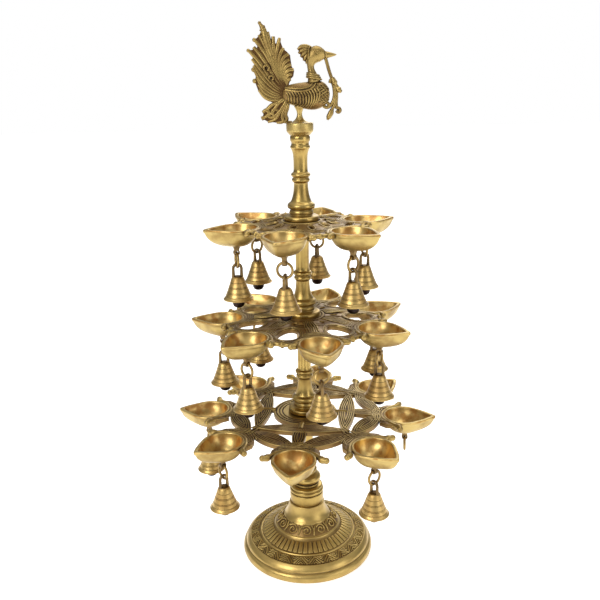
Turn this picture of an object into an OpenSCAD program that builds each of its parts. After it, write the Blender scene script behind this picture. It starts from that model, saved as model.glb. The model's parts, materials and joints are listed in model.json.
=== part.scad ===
// Three-tier brass standing oil lamp with a peacock finial and hanging bells.
// Millimetres, +Z up. The origin is the centre of the base's foot ring, on the ground.
// The lamp comes apart from the top down: each stem and the peacock has a stud that passes
// through the tray below it into a socket in the next stem.
// In each tier the cups are evenly spaced round the stem and a cup's spout points outwards.

/* [Base] */
// Diameter over the rolled foot rim
base_d = 156; // [130:1:190]
// Height of the base casting
base_h = 62; // [52:1:75]
// Wall of the hollow base casting
base_wall = 3.5; // [2.5:0.1:5]
// Diameter of the neck where the pedestal seats
neck_d = 41.2; // [38:0.2:50]
// Diameter of the pedestal's stud that sits in the neck
base_stud_d = 16.4; // [14:0.2:18]
// Length of the stud that sits in the neck
base_stud_l = 12; // [9:0.5:13]

/* [Stems] */
// Height of the pedestal between base and lower tray
pedestal_h = 112; // [95:1:135]
// Height of the lower stem
lower_stem_h = 110.5; // [92:0.5:133]
// Height of the middle stem
middle_stem_h = 101.5; // [84:0.5:122]
// Height of the upper stem
upper_stem_h = 89; // [74:0.5:107]
// Diameter of a stem's foot ring
foot_d = 37.8; // [34:0.2:45]
// Diameter of the slim part of a stem
column_d = 14.8; // [14:0.2:20]
// Diameter of the crown beads at the top of a stem
crown_d = 21.2; // [18:0.2:26]
// Diameter of the collar at the bottom of the pedestal
collar_d = 39.4; // [34:0.2:46]
// Diameter of the pedestal's round knob
knob_d = 32.4; // [26:0.2:40]
// Diameter of the studs that join the stems
stud_d = 11; // [8:0.5:12.5]
// Length of a stud below its tray
stud_reach = 14; // [10:1:18]
// Gap round a stud on all sides
stud_gap = 0.15; // [0.1:0.05:0.4]

/* [Trays] */
// Thickness of a tray's plate
tray_t = 5; // [4:0.5:7]
// Radius of the lower tray over its cup tips
lower_r = 150; // [145:1:180]
// Radius of the middle tray over its cup tips
middle_r = 126.4; // [120:1:152]
// Radius of the upper tray over its cup tips
upper_r = 107.3; // [105:1:130]
// Number of cups on the lower tray
lower_cups = 8; // [8]
// Number of cups on the middle tray
middle_cups = 7; // [7]
// Number of cups on the upper tray
upper_cups = 6; // [6]

/* [Cups] */
// Length of a cup from its round end to its spout tip
cup_l = 60; // [55:1:66]
// Width of a cup
cup_w = 47; // [42:1:48]
// Depth of a cup outside
cup_depth = 20.5; // [17:0.5:24.5]
// Wall of a cup
cup_wall = 2.6; // [2:0.1:3.5]
// Height of the upright band round a cup's rim
rim_band = 2; // [1.5:0.1:3]
// Height of a tray's top above its cups' rims
rim_drop = 2.5; // [1:0.5:4]

/* [Rings] */
// Centreline diameter of a hanging ring
ring_d = 15.7; // [14:0.1:19]
// Wire diameter of a hanging ring
ring_wire = 2.3; // [1.8:0.1:2.8]
// Distance from a cup's rim down to the hole in its lug
lug_drop = 27.15; // [26:0.05:32]
// Diameter of the hole in a lug
lug_hole_d = 4; // [3.8:0.1:5]
// Thickness of a lug along its hole
lug_t = 4.6; // [3.6:0.2:5.4]
// Width of a lug across its hole
lug_w = 7.2; // [6.6:0.2:9]

/* [Bells] */
// Diameter of a bell's lip
bell_d = 32.6; // [28:0.2:36]
// Height of a bell from lip to crown
bell_h = 25.5; // [23:0.5:30]
// Wall of a bell
bell_wall = 2; // [1.5:0.1:2.4]
// Wire diameter of the cast loop on a bell
loop_wire = 2.4; // [2:0.1:3]
// Width of a bell's loop over its wire centres
loop_w = 8; // [7:0.2:10]
// Height of a bell's loop above its crown, from crown to the ring's wire centre
loop_drop = 9.5; // [8:0.5:13]
// Gap between a ring's wire and the loop that hangs on it
loop_gap = 0.35; // [0.25:0.05:0.6]
// Diameter of the ball at the end of a clapper
ball_d = 13.4; // [10:0.2:13.6]
// Height of a bell's lip above the middle of the ball
ball_drop = 3.3; // [1:0.1:4]

/* [Peacock] */
// Diameter of the drum that the peacock stands on
drum_d = 28.4; // [25:0.2:34]
// Height of the drum
drum_h = 13; // [11:0.5:16]
// Height of the bird above the top of its drum
bird_h = 99.5; // [90:0.5:120]
// Thickness of the tail fan
tail_t = 5; // [4:0.5:7]

/* [Hidden] */
$fn = 48;
// A part drawn slightly into the next solid that it is joined to
bite = 0.4;

lower_top = base_h + pedestal_h + tray_t;
middle_top = lower_top + lower_stem_h + tray_t;
upper_top = middle_top + middle_stem_h + tray_t;
drum_z = upper_top + upper_stem_h;
bird_z = drum_z + drum_h;

stud_r = stud_d / 2;
socket_r = stud_r + stud_gap;
socket_depth = stud_reach + 1.5;
neck_r = neck_d / 2;
base_stud_r = base_stud_d / 2;

// Each tier: number of cups, direction of the first cup, radius over the tips, top of the plate
LOWER = [lower_cups, -96.64, lower_r, lower_top];
MIDDLE = [middle_cups, -79.56, middle_r, middle_top];
UPPER = [upper_cups, -104.31, upper_r, upper_top];
// Cups of each tier that carry a ring, and those whose ring carries a bell
LOWER_RINGS = [1, 2, 6, 7];
LOWER_BELLS = [1, 6, 7];
MIDDLE_BELLS = [for (i = [0:middle_cups - 1]) i];
UPPER_BELLS = [for (i = [0:upper_cups - 1]) i];

function numbered(name, cups) = [for (i = cups) str(name, i + 1)];

// ---------- base ----------

// A point of the base's outside: u runs from the neck (0) to the rim (1), v from ground to top
function base_point(r, h, u, v) = [neck_r + u * (r - neck_r), v * h];

// Outside of the base casting, from the foot rim up to the neck
function base_outside(r, h) = concat(
    [[r - 4, 0], [r - 1, 0.3], [r - 0.2, 2], [r, 5], [r - 0.6, 8], [r - 2.4, 9.8]],
    [[r - 3.4, 10.4], [r - 2.8, 11.2]],
    [for (p = BASE_CURVE) base_point(r, h, p[0], p[1])],
    [[neck_r, h]]
);

// Plain band, zigzag band, ridge, flutes, ridge, scroll band and neck
BASE_CURVE = [
    [0.861, 0.3], [0.847, 0.311], [0.746, 0.348], [0.62, 0.374], [0.61, 0.394], [0.593, 0.394],
    [0.443, 0.442], [0.317, 0.51], [0.307, 0.535], [0.289, 0.548], [0.251, 0.635],
    [0.202, 0.703], [0.143, 0.766], [0.125, 0.774], [0.068, 0.831], [0.026, 0.903], [0.005, 0.968]
];

// Hollow of the base casting, a wall inside its outside
function base_inside(r, h, w) = concat(
    [[0, -1], [r - 4 - w, -1], [r - 4 - w, 9]],
    [for (p = BASE_HOLLOW) base_point(r - w, h - w, p[0], p[1])],
    [[base_stud_r, h - base_stud_l], [0, h - base_stud_l]]
);
BASE_HOLLOW = [
    [0.84, 0.265], [0.61, 0.33], [0.44, 0.39], [0.3, 0.46], [0.2, 0.6], [0.1, 0.7], [0, 0.76]
];

module base() {
    color("#b08a3e")
    rotate_extrude()
    difference() {
        polygon(concat([[0, 0]], base_outside(base_d / 2, base_h), [[0, base_h]]));
        polygon(base_inside(base_d / 2, base_h, base_wall));
        translate([0, base_h - 2 * base_stud_l])
        square([base_stud_r + stud_gap, 3 * base_stud_l]);
    }
}

// ---------- stems ----------

// Foot of a turned stem: foot ring, bead, collar and the flare up to the column
function stem_foot(f, c) = [
    [f - 0.6, 0], [f, 0.8], [f, 4.6], [f - 1.2, 6], [f - 6.6, 6.6], [f - 6, 7.6],
    [f - 5.9, 11.2], [f - 7.2, 12.4], [f - 4.9, 13.2], [f - 4.1, 14.8], [f - 4.1, 17.2],
    [f - 5.2, 19], [c + 4, 20.4], [c + 2.7, 22], [c + 1.5, 25.5], [c + 0.6, 30.5],
    [c + 0.1, 36], [c, 41], [c + 1.3, 41.8], [c + 2.1, 43.2], [c + 1.9, 44.8],
    [c + 0.9, 46], [c + 1.8, 47.2], [c + 3, 49], [c + 1.3, 50.6], [c, 52]
];

// Crown of a turned stem, measured down from its top
function stem_crown(k, c, h) = [
    [c, h - 21], [c + 0.9, h - 16.5], [k - 1, h - 13.2], [k - 0.2, h - 11.6], [k - 1.2, h - 10],
    [k - 1.2, h - 6.6], [k - 0.1, h - 5.2], [k, h - 2.2], [k - 0.6, h]
];

function stem_profile(f, c, k, h) = concat([[0, 0]], stem_foot(f, c), stem_crown(k, c, h), [[0, h]]);

// A turned stem that stands at height z, with its stud below and its socket above
module turned_stem(z, h) {
    translate([0, 0, z])
    difference() {
        union() {
            rotate_extrude()
            polygon(stem_profile(foot_d / 2, column_d / 2, crown_d / 2, h));
            translate([0, 0, -tray_t - stud_reach])
            cylinder(r = stud_r, h = tray_t + stud_reach + bite);
        }
        translate([0, 0, h - socket_depth])
        cylinder(r = socket_r, h = socket_depth + 1);
    }
}

// Collar, two beads, knob, waist and spreading crown of the pedestal
function pedestal_profile(c, k, h) = [
    [0, 0], [c - 0.4, 0], [c, 0.5], [c, 10.6], [c - 1.4, 11.6], [c - 0.4, 12.6], [c + 0.2, 14],
    [c - 0.6, 15.4], [c - 3, 16.2], [c - 2, 17.2], [c - 1.9, 18.4], [c - 2.8, 19.4],
    [k - 2.2, 20.4], [k - 2.2, 22], [k - 0.9, 24], [k - 0.1, 27], [k, 29.5], [k - 0.9, 33],
    [k - 3, 36], [k - 5, 37.4], [k - 5, 39], [k - 3.6, 40.2], [k - 3.4, 41.8], [k - 4.4, 43.2],
    [k - 6, 44.4], [k - 7.2, 50], [k - 7.9, 58], [k - 8, 64], [k - 6.4, 65.2], [k - 6, 67],
    [k - 7, 68.4], [k - 6, 69.8], [k - 5.4, 71.4], [k - 7, 73], [k - 8, 75],
    [k - 7.6, h - 24], [k - 5.6, h - 14], [k - 3.8, h - 9], [k - 3, h - 7.4], [k - 3.4, h - 5.6],
    [k - 1.4, h - 4.4], [k - 0.8, h - 2], [k - 1, h], [0, h]
];

module pedestal() {
    color("#c79a3c")
    translate([0, 0, base_h])
    difference() {
        union() {
            rotate_extrude()
            polygon(pedestal_profile(collar_d / 2, knob_d / 2, pedestal_h));
            translate([0, 0, -base_stud_l])
            cylinder(r = base_stud_r, h = base_stud_l + bite);
        }
        translate([0, 0, pedestal_h - socket_depth])
        cylinder(r = socket_r, h = socket_depth + 1);
    }
}

module lower_stem() {
    color("#c79a3c")
    turned_stem(lower_top, lower_stem_h);
}

module middle_stem() {
    color("#c79a3c")
    turned_stem(middle_top, middle_stem_h);
}

module upper_stem() {
    color("#c79a3c")
    turned_stem(upper_top, upper_stem_h);
}

// ---------- cups ----------

// Plan of a cup or of its hollow: a round end in short flats, and two straight flanks to the tip
module teardrop(r, back, tip) {
    flats = 14;
    centre = back + r;
    turn = acos(r / (tip - centre));
    round_end = [
        for (k = [0:flats])
            let (a = turn + (360 - 2 * turn) * k / flats)
            [centre + r * cos(a), r * sin(a)]
    ];
    polygon(concat([[tip, 0]], round_end));
}

// A boat shape: the plan, cut to a rounded keel below and rounded sides.
// The rounding starts rim_band below the rim, so the rim stands as a short upright band,
// and the side curve runs a little deeper than the keel, so the two cross cleanly.
module boat(inset, top) {
    keel_half = cup_l / 2 + rim_band;
    side_half = cup_w / 2 + rim_band;
    side_depth = cup_depth + 1.5;
    keel_r = (keel_half * keel_half + cup_depth * cup_depth) / (2 * cup_depth);
    side_r = (side_half * side_half + side_depth * side_depth) / (2 * side_depth);
    intersection() {
        translate([0, 0, -cup_depth - 1])
        linear_extrude(cup_depth + 1 + top)
        teardrop(cup_w / 2 - inset, inset, cup_l - inset * 1.55);
        translate([cup_l / 2, cup_l, keel_r - cup_depth])
        rotate([90, 0, 0])
        cylinder(r = keel_r - inset, h = 2 * cup_l);
        translate([-cup_l / 2, 0, side_r - side_depth])
        rotate([0, 90, 0])
        cylinder(r = side_r - inset, h = 2 * cup_l);
    }
}

// Distance from a tray's axis to the middle of its lugs
function lug_r(tier) = tier[2] - cup_l + cup_w / 2 + 1.5;

// Places a child at cup i of a tier: X outwards from the cup's round end, Z = 0 at its rim
module at_cup(tier, i) {
    rotate([0, 0, tier[1] + i * 360 / tier[0]])
    translate([tier[2] - cup_l, 0, tier[3] - rim_drop])
    children();
}

// Places a child at lug i of a tier: Z = 0 at the cup's rim, Y along the lug's hole
module at_lug(tier, i) {
    rotate([0, 0, tier[1] + i * 360 / tier[0]])
    translate([lug_r(tier), 0, tier[3] - rim_drop])
    children();
}

// A lug under a cup: a tapered root and a flat round-ended tab
module lug() {
    tab_top = lug_drop - cup_depth - bite;
    translate([0, 0, -lug_drop + 2.2])
    cylinder(r1 = lug_w / 2 - 0.2, r2 = lug_w / 2 + 2, h = tab_top);
    translate([0, lug_t / 2, -lug_drop])
    rotate([90, 0, 0])
    cylinder(r = lug_w / 2, h = lug_t);
    translate([-lug_w / 2, -lug_t / 2, -lug_drop])
    cube([lug_w, lug_t, lug_drop - cup_depth + bite]);
}

module lug_hole() {
    translate([0, lug_t, -lug_drop])
    rotate([90, 0, 0])
    cylinder(d = lug_hole_d, h = lug_t * 2);
}

// A tray: its flat openwork (the children), cups, lugs under the listed cups and a stud hole
module tray(tier, lugs) {
    difference() {
        union() {
            translate([0, 0, tier[3] - tray_t])
            linear_extrude(tray_t)
            children();
            for (i = [0:tier[0] - 1])
                at_cup(tier, i)
                boat(0, 0);
            for (i = lugs)
                at_lug(tier, i)
                lug();
        }
        for (i = [0:tier[0] - 1])
            at_cup(tier, i)
            boat(cup_wall, tray_t);
        for (i = lugs)
            at_lug(tier, i)
            lug_hole();
        translate([0, 0, tier[3] - tray_t - 1])
        cylinder(r = socket_r, h = tray_t + 2);
    }
}

// ---------- tray openwork ----------

// A leaf with two pointed ends, centred at [x, y] and turned by a
module leaf(x, y, a, l, w) {
    r = (l * l + w * w) / (4 * w);
    translate([x, y])
    rotate([0, 0, a])
    intersection() {
        translate([0, r - w / 2])
        circle(r = r, $fn = 64);
        translate([0, w / 2 - r])
        circle(r = r, $fn = 64);
    }
}

// A leaf from polar place [r1, a1] to [r2, a2]
module leaf_between(r1, a1, r2, a2, w) {
    x1 = r1 * cos(a1);
    y1 = r1 * sin(a1);
    x2 = r2 * cos(a2);
    y2 = r2 * sin(a2);
    leaf((x1 + x2) / 2, (y1 + y2) / 2, atan2(y2 - y1, x2 - x1), norm([x2 - x1, y2 - y1]), w);
}

// A flat disc at a polar place
module dot(r, a, d) {
    translate([r * cos(a), r * sin(a)])
    circle(d = d);
}

// Two curl knobs that stand out beside the round end of a cup, on a bar behind it
module curls(back_r, a, spread) {
    rotate([0, 0, a])
    for (side = [-1, 1]) {
        leaf(back_r + 6, side * 18, side * 52, 40, 10);
        translate([back_r + 16, side * spread])
        circle(d = 8);
    }
}

// Eight cups: a hub disc, four long leaves in a square round it, and leaves out to the cups
module lower_openwork() {
    n = lower_cups;
    step = 360 / n;
    first = LOWER[1];
    back = lower_r - cup_l;
    odd_r = back - 14;
    even_r = back - 5;
    square_r = odd_r * cos(step) - 5.7;
    circle(d = 2 * square_r - 23);
    for (i = [0:n - 1]) {
        a = first + i * step;
        odd = i % 2;
        dot(odd == 1 ? odd_r : even_r, a, 22);
        leaf_between(odd_r, a, back + 6, a, 22);
        leaf_between(odd == 1 ? odd_r - 4 : even_r, a, odd == 1 ? even_r : odd_r - 4, a + step, 15);
        curls(back, a, 29);
        if (odd == 0) {
            leaf_between(square_r - 6, a, even_r + 4, a, 13);
            rotate([0, 0, a])
            translate([square_r, 0])
            rotate([0, 0, 90])
            leaf(0, 0, 0, 2 * odd_r * sin(step), 18);
            rotate([0, 0, a])
            translate([square_r - 15, -4])
            square([17, 8]);
        }
    }
}

// Seven cups: a pierced hub, broad arms, tall round openings between them and knobbed links
module middle_openwork() {
    n = middle_cups;
    step = 360 / n;
    first = MIDDLE[1];
    back = middle_r - cup_l;
    link_r = back + 25;
    difference() {
        union() {
            circle(r = back - 22);
            for (i = [0:n - 1]) {
                a = first + i * step;
                leaf_between(back - 44, a, back + 16, a, 34);
                curls(back, a, 30);
                rotate([0, 0, a + step / 2])
                translate([link_r - 2, 0])
                square([6, 2 * link_r * sin(step / 2) - 40], center = true);
                dot(link_r - 1, a + step / 2, 11);
            }
        }
        for (i = [0:n - 1])
            leaf_between(back - 36, first + i * step, back - 24, first + i * step, 6);
    }
}

// Six cups: a close plate with slots round the hub and small slots between the cups
module upper_openwork() {
    n = upper_cups;
    step = 360 / n;
    first = UPPER[1];
    back = upper_r - cup_l;
    difference() {
        union() {
            circle(r = back + 2);
            for (i = [0:n - 1]) {
                a = first + i * step;
                curls(back, a, 27);
                rotate([0, 0, a + step / 2])
                translate([back + 12, 0])
                square([8, 2 * (back + 12) * sin(step / 2) - 18], center = true);
            }
        }
        for (i = [0:n - 1]) {
            a = first + i * step;
            leaf_between(back - 22, a, back - 7, a, 7);
            rotate([0, 0, a + step / 2])
            leaf(back - 9, 0, 90, 26, 7);
        }
    }
}

module lower_tray() {
    color("#a8803a")
    tray(LOWER, LOWER_RINGS)
    lower_openwork();
}

module middle_tray() {
    color("#a8803a")
    tray(MIDDLE, MIDDLE_BELLS)
    middle_openwork();
}

module upper_tray() {
    color("#a8803a")
    tray(UPPER, UPPER_BELLS)
    upper_openwork();
}

// ---------- rings, bells and clappers ----------

module hanging_ring(tier, i) {
    color("#9c7636")
    at_lug(tier, i)
    translate([0, 0, -lug_drop - ring_d / 2])
    rotate([0, 90, 0])
    rotate_extrude()
    translate([ring_d / 2, 0])
    circle(d = ring_wire);
}

function bell_outside(r, h) = [
    [r, 0], [r, 0.8], [r - 2.1, 3.2], [r - 3.9, 7], [r - 5.4, 12], [r - 6.7, h - 8.5],
    [r - 7.7, h - 4.5], [r - 8.7, h - 1.9], [r - 10.3, h], [0, h]
];

function bell_inside(r, h, w) = [
    [0, h - w], [r - 10.8, h - w - 0.7], [r - 9.7, h - 5], [r - 8.7, h - 8.5],
    [r - 7.4, 12], [r - 5.9, 7], [r - 4.3, 3.4], [r - 2.7, 1], [r - w, 0]
];

// Height from a bell's lip up to the pivot of its clapper
pivot_z = bell_h - bell_wall - 3.1;
staple_hole_d = 2.7;
eye_d = 4.6;
eye_wire = 1.2;

// The bell hangs from the lowest point of its ring; Z = 0 of its children is its lip
module at_lip(tier, i) {
    at_lug(tier, i)
    translate([0, 0, -lug_drop - ring_d - loop_drop - bell_h])
    children();
}

// A half ring on two slightly thinner legs, cast on the crown
module bell_loop() {
    top = bell_h + loop_drop + ring_wire / 2 + loop_gap + loop_wire / 2;
    arch_z = top - loop_w / 2;
    leg_foot = bell_h - bell_wall * 0.7;
    translate([0, 0, arch_z])
    rotate([90, 0, 0])
    rotate_extrude(angle = 180)
    translate([loop_w / 2, 0])
    circle(d = loop_wire);
    for (side = [-1, 1])
        translate([side * loop_w / 2, 0, leg_foot])
        cylinder(d = loop_wire - 0.2, h = arch_z - leg_foot + bite);
}

// The flat staple inside the crown that the clapper hooks onto
module staple() {
    difference() {
        union() {
            translate([0, 0.8, pivot_z])
            rotate([90, 0, 0])
            cylinder(d = 4.8, h = 1.6);
            translate([-2.4, -0.8, pivot_z])
            cube([4.8, 1.6, bell_h - bell_wall / 2 - pivot_z]);
        }
        translate([0, 2, pivot_z])
        rotate([90, 0, 0])
        cylinder(d = staple_hole_d, h = 4);
    }
}

module bell(tier, i) {
    color("#c09446")
    at_lip(tier, i) {
        rotate_extrude()
        polygon(concat(bell_outside(bell_d / 2, bell_h), bell_inside(bell_d / 2, bell_h, bell_wall)));
        bell_loop();
        staple();
    }
}

// An eye through the staple, a rod and a ball just below the lip
module clapper(tier, i) {
    eye_bottom = pivot_z - eye_d;
    color("#2b2018")
    at_lip(tier, i) {
        translate([0, 0, pivot_z - eye_d / 2])
        rotate([0, 90, 0])
        rotate_extrude()
        translate([eye_d / 2, 0])
        circle(d = eye_wire);
        translate([0, 0, -ball_drop])
        cylinder(d = 2, h = eye_bottom + ball_drop);
        translate([0, 0, -ball_drop])
        sphere(d = ball_d);
    }
}

// ---------- peacock ----------

// Height at which the bird's outlines below are drawn, from the drum to the tail's tip
BIRD_DRAWN_H = 99.5;
// The tail fan seen from the side, X forwards and Y up from the top of the drum
TAIL = [
    [-38, 99], [-31.5, 93.5], [-30.5, 86], [-25.5, 80], [-19, 83.5], [-16.5, 75.5], [-11, 70],
    [-7.5, 61], [-5, 54], [-9.5, 45], [-10.5, 38], [-8, 26], [-14, 22], [-26.5, 21.5], [-39, 28.5],
    [-47, 40], [-49, 46], [-43.5, 48], [-49, 53.5], [-48.5, 58], [-44.5, 59.5], [-47.5, 68],
    [-52, 73.5], [-45.5, 74], [-45, 82.5], [-40, 83.5], [-36.5, 91], [-40.5, 97.5]
];
// The under-tail tuft, and the twig that hangs from the beak
TUFT = [
    [-11, 22], [-18.5, 23.5], [-26.5, 18.5], [-38, 12.5], [-41.5, 3.5], [-29, -1.5], [-16, 3],
    [-18, 8], [-12, 18]
];
TWIG = [
    [26, 65.5], [28.5, 65], [33, 44.5], [43, 30.5], [39.5, 30], [40.5, 17], [41.5, 11],
    [36.5, 14], [30.5, 3], [28, 1.8], [26, 9], [31.5, 18], [23, 17], [23.5, 20.5], [31, 22.5],
    [34.5, 31], [30.5, 38], [31, 43]
];
CREST = [[-2, 71], [4, 73.5], [12, 75], [12, 64], [7, 60.5], [3.5, 66]];

// A flat cast piece in the bird's own plane
module flat_piece(points, t) {
    translate([0, t / 2, 0])
    rotate([90, 0, 0])
    linear_extrude(t)
    polygon(points);
}

// Profile of the bird's body, round its own long axis, from tail root to breast
BODY = [
    [0, 0], [8.5, 0], [11, 6], [12, 14], [12.6, 22], [13.4, 31], [12.8, 38], [9.8, 43],
    [5, 46], [0, 46.6]
];

module bird() {
    flat_piece(TAIL, tail_t);
    flat_piece(TUFT, tail_t);
    flat_piece(TWIG, 3);
    flat_piece(CREST, 4);
    // body
    translate([-15.5, 0, 29])
    rotate([0, 88, 0])
    rotate_extrude()
    polygon(BODY);
    // leg, flaring onto the drum
    cylinder(r1 = 12, r2 = 4.2, h = 4.4);
    translate([0, 0, 4.2])
    cylinder(r1 = 4.4, r2 = 3.4, h = 16);
    // neck, collar and head
    translate([17, 0, 36])
    rotate([0, -10, 0])
    cylinder(r1 = 8.5, r2 = 5, h = 14);
    translate([15, 0, 47.5])
    rotate([0, -16, 0])
    cylinder(r1 = 5.2, r2 = 3, h = 13);
    translate([16.5, 0, 67.5])
    sphere(r = 8);
    translate([22, 0, 66])
    rotate([0, 90, 0])
    cylinder(r1 = 4, r2 = 0.6, h = 16.3);
    // strut from the tuft to the drum
    translate([-17, 0, 0])
    rotate([0, 90, 0])
    cylinder(r = 1.6, h = 8);
}

// The drum, its stud that goes down into the upper stem, and the bird on top
module peacock() {
    drum_foot = 4;
    color("#a8803a") {
        translate([0, 0, drum_z]) {
            cylinder(d1 = crown_d - 1.2, d2 = drum_d, h = drum_foot);
            translate([0, 0, drum_foot])
            cylinder(d = drum_d, h = drum_h - drum_foot);
            translate([0, 0, -stud_reach])
            cylinder(r = stud_r, h = stud_reach + bite);
        }
        translate([0, 0, bird_z])
        scale(bird_h / BIRD_DRAWN_H)
        bird();
    }
}

base();
pedestal();
lower_tray();
lower_stem();
middle_tray();
middle_stem();
upper_tray();
upper_stem();
peacock();

for (i = LOWER_RINGS) {
    hanging_ring(LOWER, i);
}
for (i = LOWER_BELLS) {
    bell(LOWER, i);
    clapper(LOWER, i);
}
for (i = MIDDLE_BELLS) {
    hanging_ring(MIDDLE, i);
    bell(MIDDLE, i);
    clapper(MIDDLE, i);
}
for (i = UPPER_BELLS) {
    hanging_ring(UPPER, i);
    bell(UPPER, i);
    clapper(UPPER, i);
}
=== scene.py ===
# %% [markdown]
# # A brass oil lamp with hanging bells
# The lamp is a stack of brass castings: a domed base, a turned pedestal, three pierced trays
# that carry oil cups, turned stems between the trays, and a peacock on top. Small bells hang
# from rings under the cups. The working frame already exists, with every piece in its place.
# Here each piece gets the shape and the finish of the real casting, in the frame's own place.

# %% Load the frame
import json
import math
import random

import bmesh
import bpy
from mathutils import Matrix, Vector


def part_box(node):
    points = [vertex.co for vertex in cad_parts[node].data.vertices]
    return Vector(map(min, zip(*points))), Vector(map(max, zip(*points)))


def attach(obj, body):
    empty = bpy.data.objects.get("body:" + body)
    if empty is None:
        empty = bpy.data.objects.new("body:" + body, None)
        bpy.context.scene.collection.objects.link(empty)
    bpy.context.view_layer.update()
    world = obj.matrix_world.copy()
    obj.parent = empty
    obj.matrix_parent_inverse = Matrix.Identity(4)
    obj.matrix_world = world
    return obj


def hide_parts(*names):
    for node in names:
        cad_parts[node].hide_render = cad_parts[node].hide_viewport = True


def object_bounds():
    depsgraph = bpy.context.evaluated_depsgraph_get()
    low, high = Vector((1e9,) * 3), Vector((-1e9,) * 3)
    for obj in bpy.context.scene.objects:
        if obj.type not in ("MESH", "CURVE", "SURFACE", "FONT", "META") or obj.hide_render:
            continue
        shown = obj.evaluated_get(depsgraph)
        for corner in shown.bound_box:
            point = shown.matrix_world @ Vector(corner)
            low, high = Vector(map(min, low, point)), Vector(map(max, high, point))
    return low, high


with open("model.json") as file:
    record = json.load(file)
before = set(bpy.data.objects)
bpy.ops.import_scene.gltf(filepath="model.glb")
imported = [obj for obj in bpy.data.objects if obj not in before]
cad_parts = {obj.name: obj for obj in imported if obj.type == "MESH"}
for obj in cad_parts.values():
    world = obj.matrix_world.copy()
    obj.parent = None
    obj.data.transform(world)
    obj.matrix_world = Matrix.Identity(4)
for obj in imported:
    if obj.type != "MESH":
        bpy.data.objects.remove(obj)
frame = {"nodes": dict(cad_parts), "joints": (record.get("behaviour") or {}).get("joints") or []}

cad_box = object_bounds()

# %% [markdown]
# The frame's places drive everything. A tray's top and its reach come from its own mesh, and
# each hanging ring's joint says where its cup points. Sizes are in millimetres, as on a
# founder's drawing, and `MM` turns them into Blender's metres.

# %% Measure the frame
MM = 0.001
CUPS = {"lower": 8, "middle": 7, "upper": 6}


def height_of(node, top=True):
    """Height in mm of the top or the bottom of a node."""
    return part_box(node)[1 if top else 0].z / MM


def reach_of(node):
    """Largest distance in mm of a node from the lamp's axis."""
    return max(math.hypot(v.co.x, v.co.y) for v in frame["nodes"][node].data.vertices) / MM


joints = {j["name"]: j for j in frame["joints"]}
tiers = {}
for tier, cups in CUPS.items():
    hinge = joints[tier + "_ring_swing_2"]["pos_m"]
    step = math.tau / cups
    tiers[tier] = {
        "cups": cups,
        "step": step,
        "first": math.atan2(hinge[1], hinge[0]) - step,
        "top": height_of(tier + "_tray"),
        "reach": reach_of(tier + "_tray"),
        "hinge": hinge[2] / MM,
        "lug": math.hypot(hinge[0], hinge[1]) / MM,
    }
    print(tier, {key: round(value, 2) for key, value in tiers[tier].items()})

# %% [markdown]
# The camera looks down a little on the lamp from the front, as one sees it on a low table.

# %% Camera
CAMERA_PLACE = Vector((-3.4, -769.2, 538.9)) * MM
camera_data = bpy.data.cameras.new("camera")
camera_data.lens = 43.4
camera = bpy.data.objects.new("camera", camera_data)
bpy.context.scene.collection.objects.link(camera)
tilt = Matrix.Rotation(math.radians(73.55), 4, "X")
roll = Matrix.Rotation(math.radians(-1.15), 4, "Z")
camera.matrix_world = Matrix.Translation(CAMERA_PLACE) @ tilt @ roll
bpy.context.scene.camera = camera
print("camera at", [round(c, 3) for c in CAMERA_PLACE])

# %% [markdown]
# Before any modelling, a few short helpers. An operator acts on everything that is selected,
# and the frame's nodes start selected, so each piece begins with an empty selection.

# %% Small helpers


def clear():
    """Object mode, with nothing selected."""
    if bpy.context.mode != "OBJECT":
        bpy.ops.object.mode_set(mode="OBJECT")
    bpy.ops.object.select_all(action="DESELECT")


def pick(piece):
    """Selects one piece and makes it the active one."""
    clear()
    piece.select_set(True)
    bpy.context.view_layer.objects.active = piece


def modify(piece, kind, **settings):
    """Adds a modifier and applies it at once."""
    pick(piece)
    modifier = piece.modifiers.new(kind.lower(), kind)
    for key, value in settings.items():
        setattr(modifier, key, value)
    bpy.ops.object.modifier_apply(modifier=modifier.name)


def smooth(piece, angle=35):
    """Smooth shading, except over edges sharper than the angle."""
    pick(piece)
    bpy.ops.object.shade_smooth_by_angle(angle=math.radians(angle))


def paint(piece, *materials):
    """Gives a piece its materials; the first covers it all."""
    piece.data.materials.clear()
    for material in materials:
        piece.data.materials.append(material)


def copy_of(piece, place, name=None):
    """A copy with its own mesh, moved by a matrix that is applied to the mesh."""
    twin = piece.copy()
    twin.data = piece.data.copy()
    twin.data.transform(place)
    twin.name = name or piece.name
    bpy.context.scene.collection.objects.link(twin)
    return twin


def joined(name, parts):
    """Joins parts into one piece."""
    clear()
    for part in parts:
        part.select_set(True)
    bpy.context.view_layer.objects.active = parts[0]
    bpy.ops.object.join()
    parts[0].name = name
    parts[0].data.name = name
    return parts[0]


def bring(piece, body, slot, *nodes):
    """The finished piece rides on its body and stands for its nodes."""
    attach(piece, body)
    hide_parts(*nodes)
    return piece


def at(x=0.0, y=0.0, z=0.0):
    """A move in mm."""
    return Matrix.Translation(Vector((x, y, z)) * MM)


def turn(angle, axis="Z"):
    """A turn about an axis through the origin, in radians."""
    return Matrix.Rotation(angle, 4, axis)


print("helpers ready")

# %% [markdown]
# ## Finishes
# All of it is brass, but no two castings look the same. Turned stems are polished and show
# fine rings from the lathe. The pierced trays and the bird are antiqued: dark brown stays in
# the recesses, and the high places are rubbed back to gold. One function makes every brass,
# and an ambient occlusion node finds the recesses and darkens them, which is partly the real
# patina there and partly painted shade.

# %% Node helpers
FACTOR, COLOUR_A, COLOUR_B, COLOUR_OUT = 0, 6, 7, 2


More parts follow.
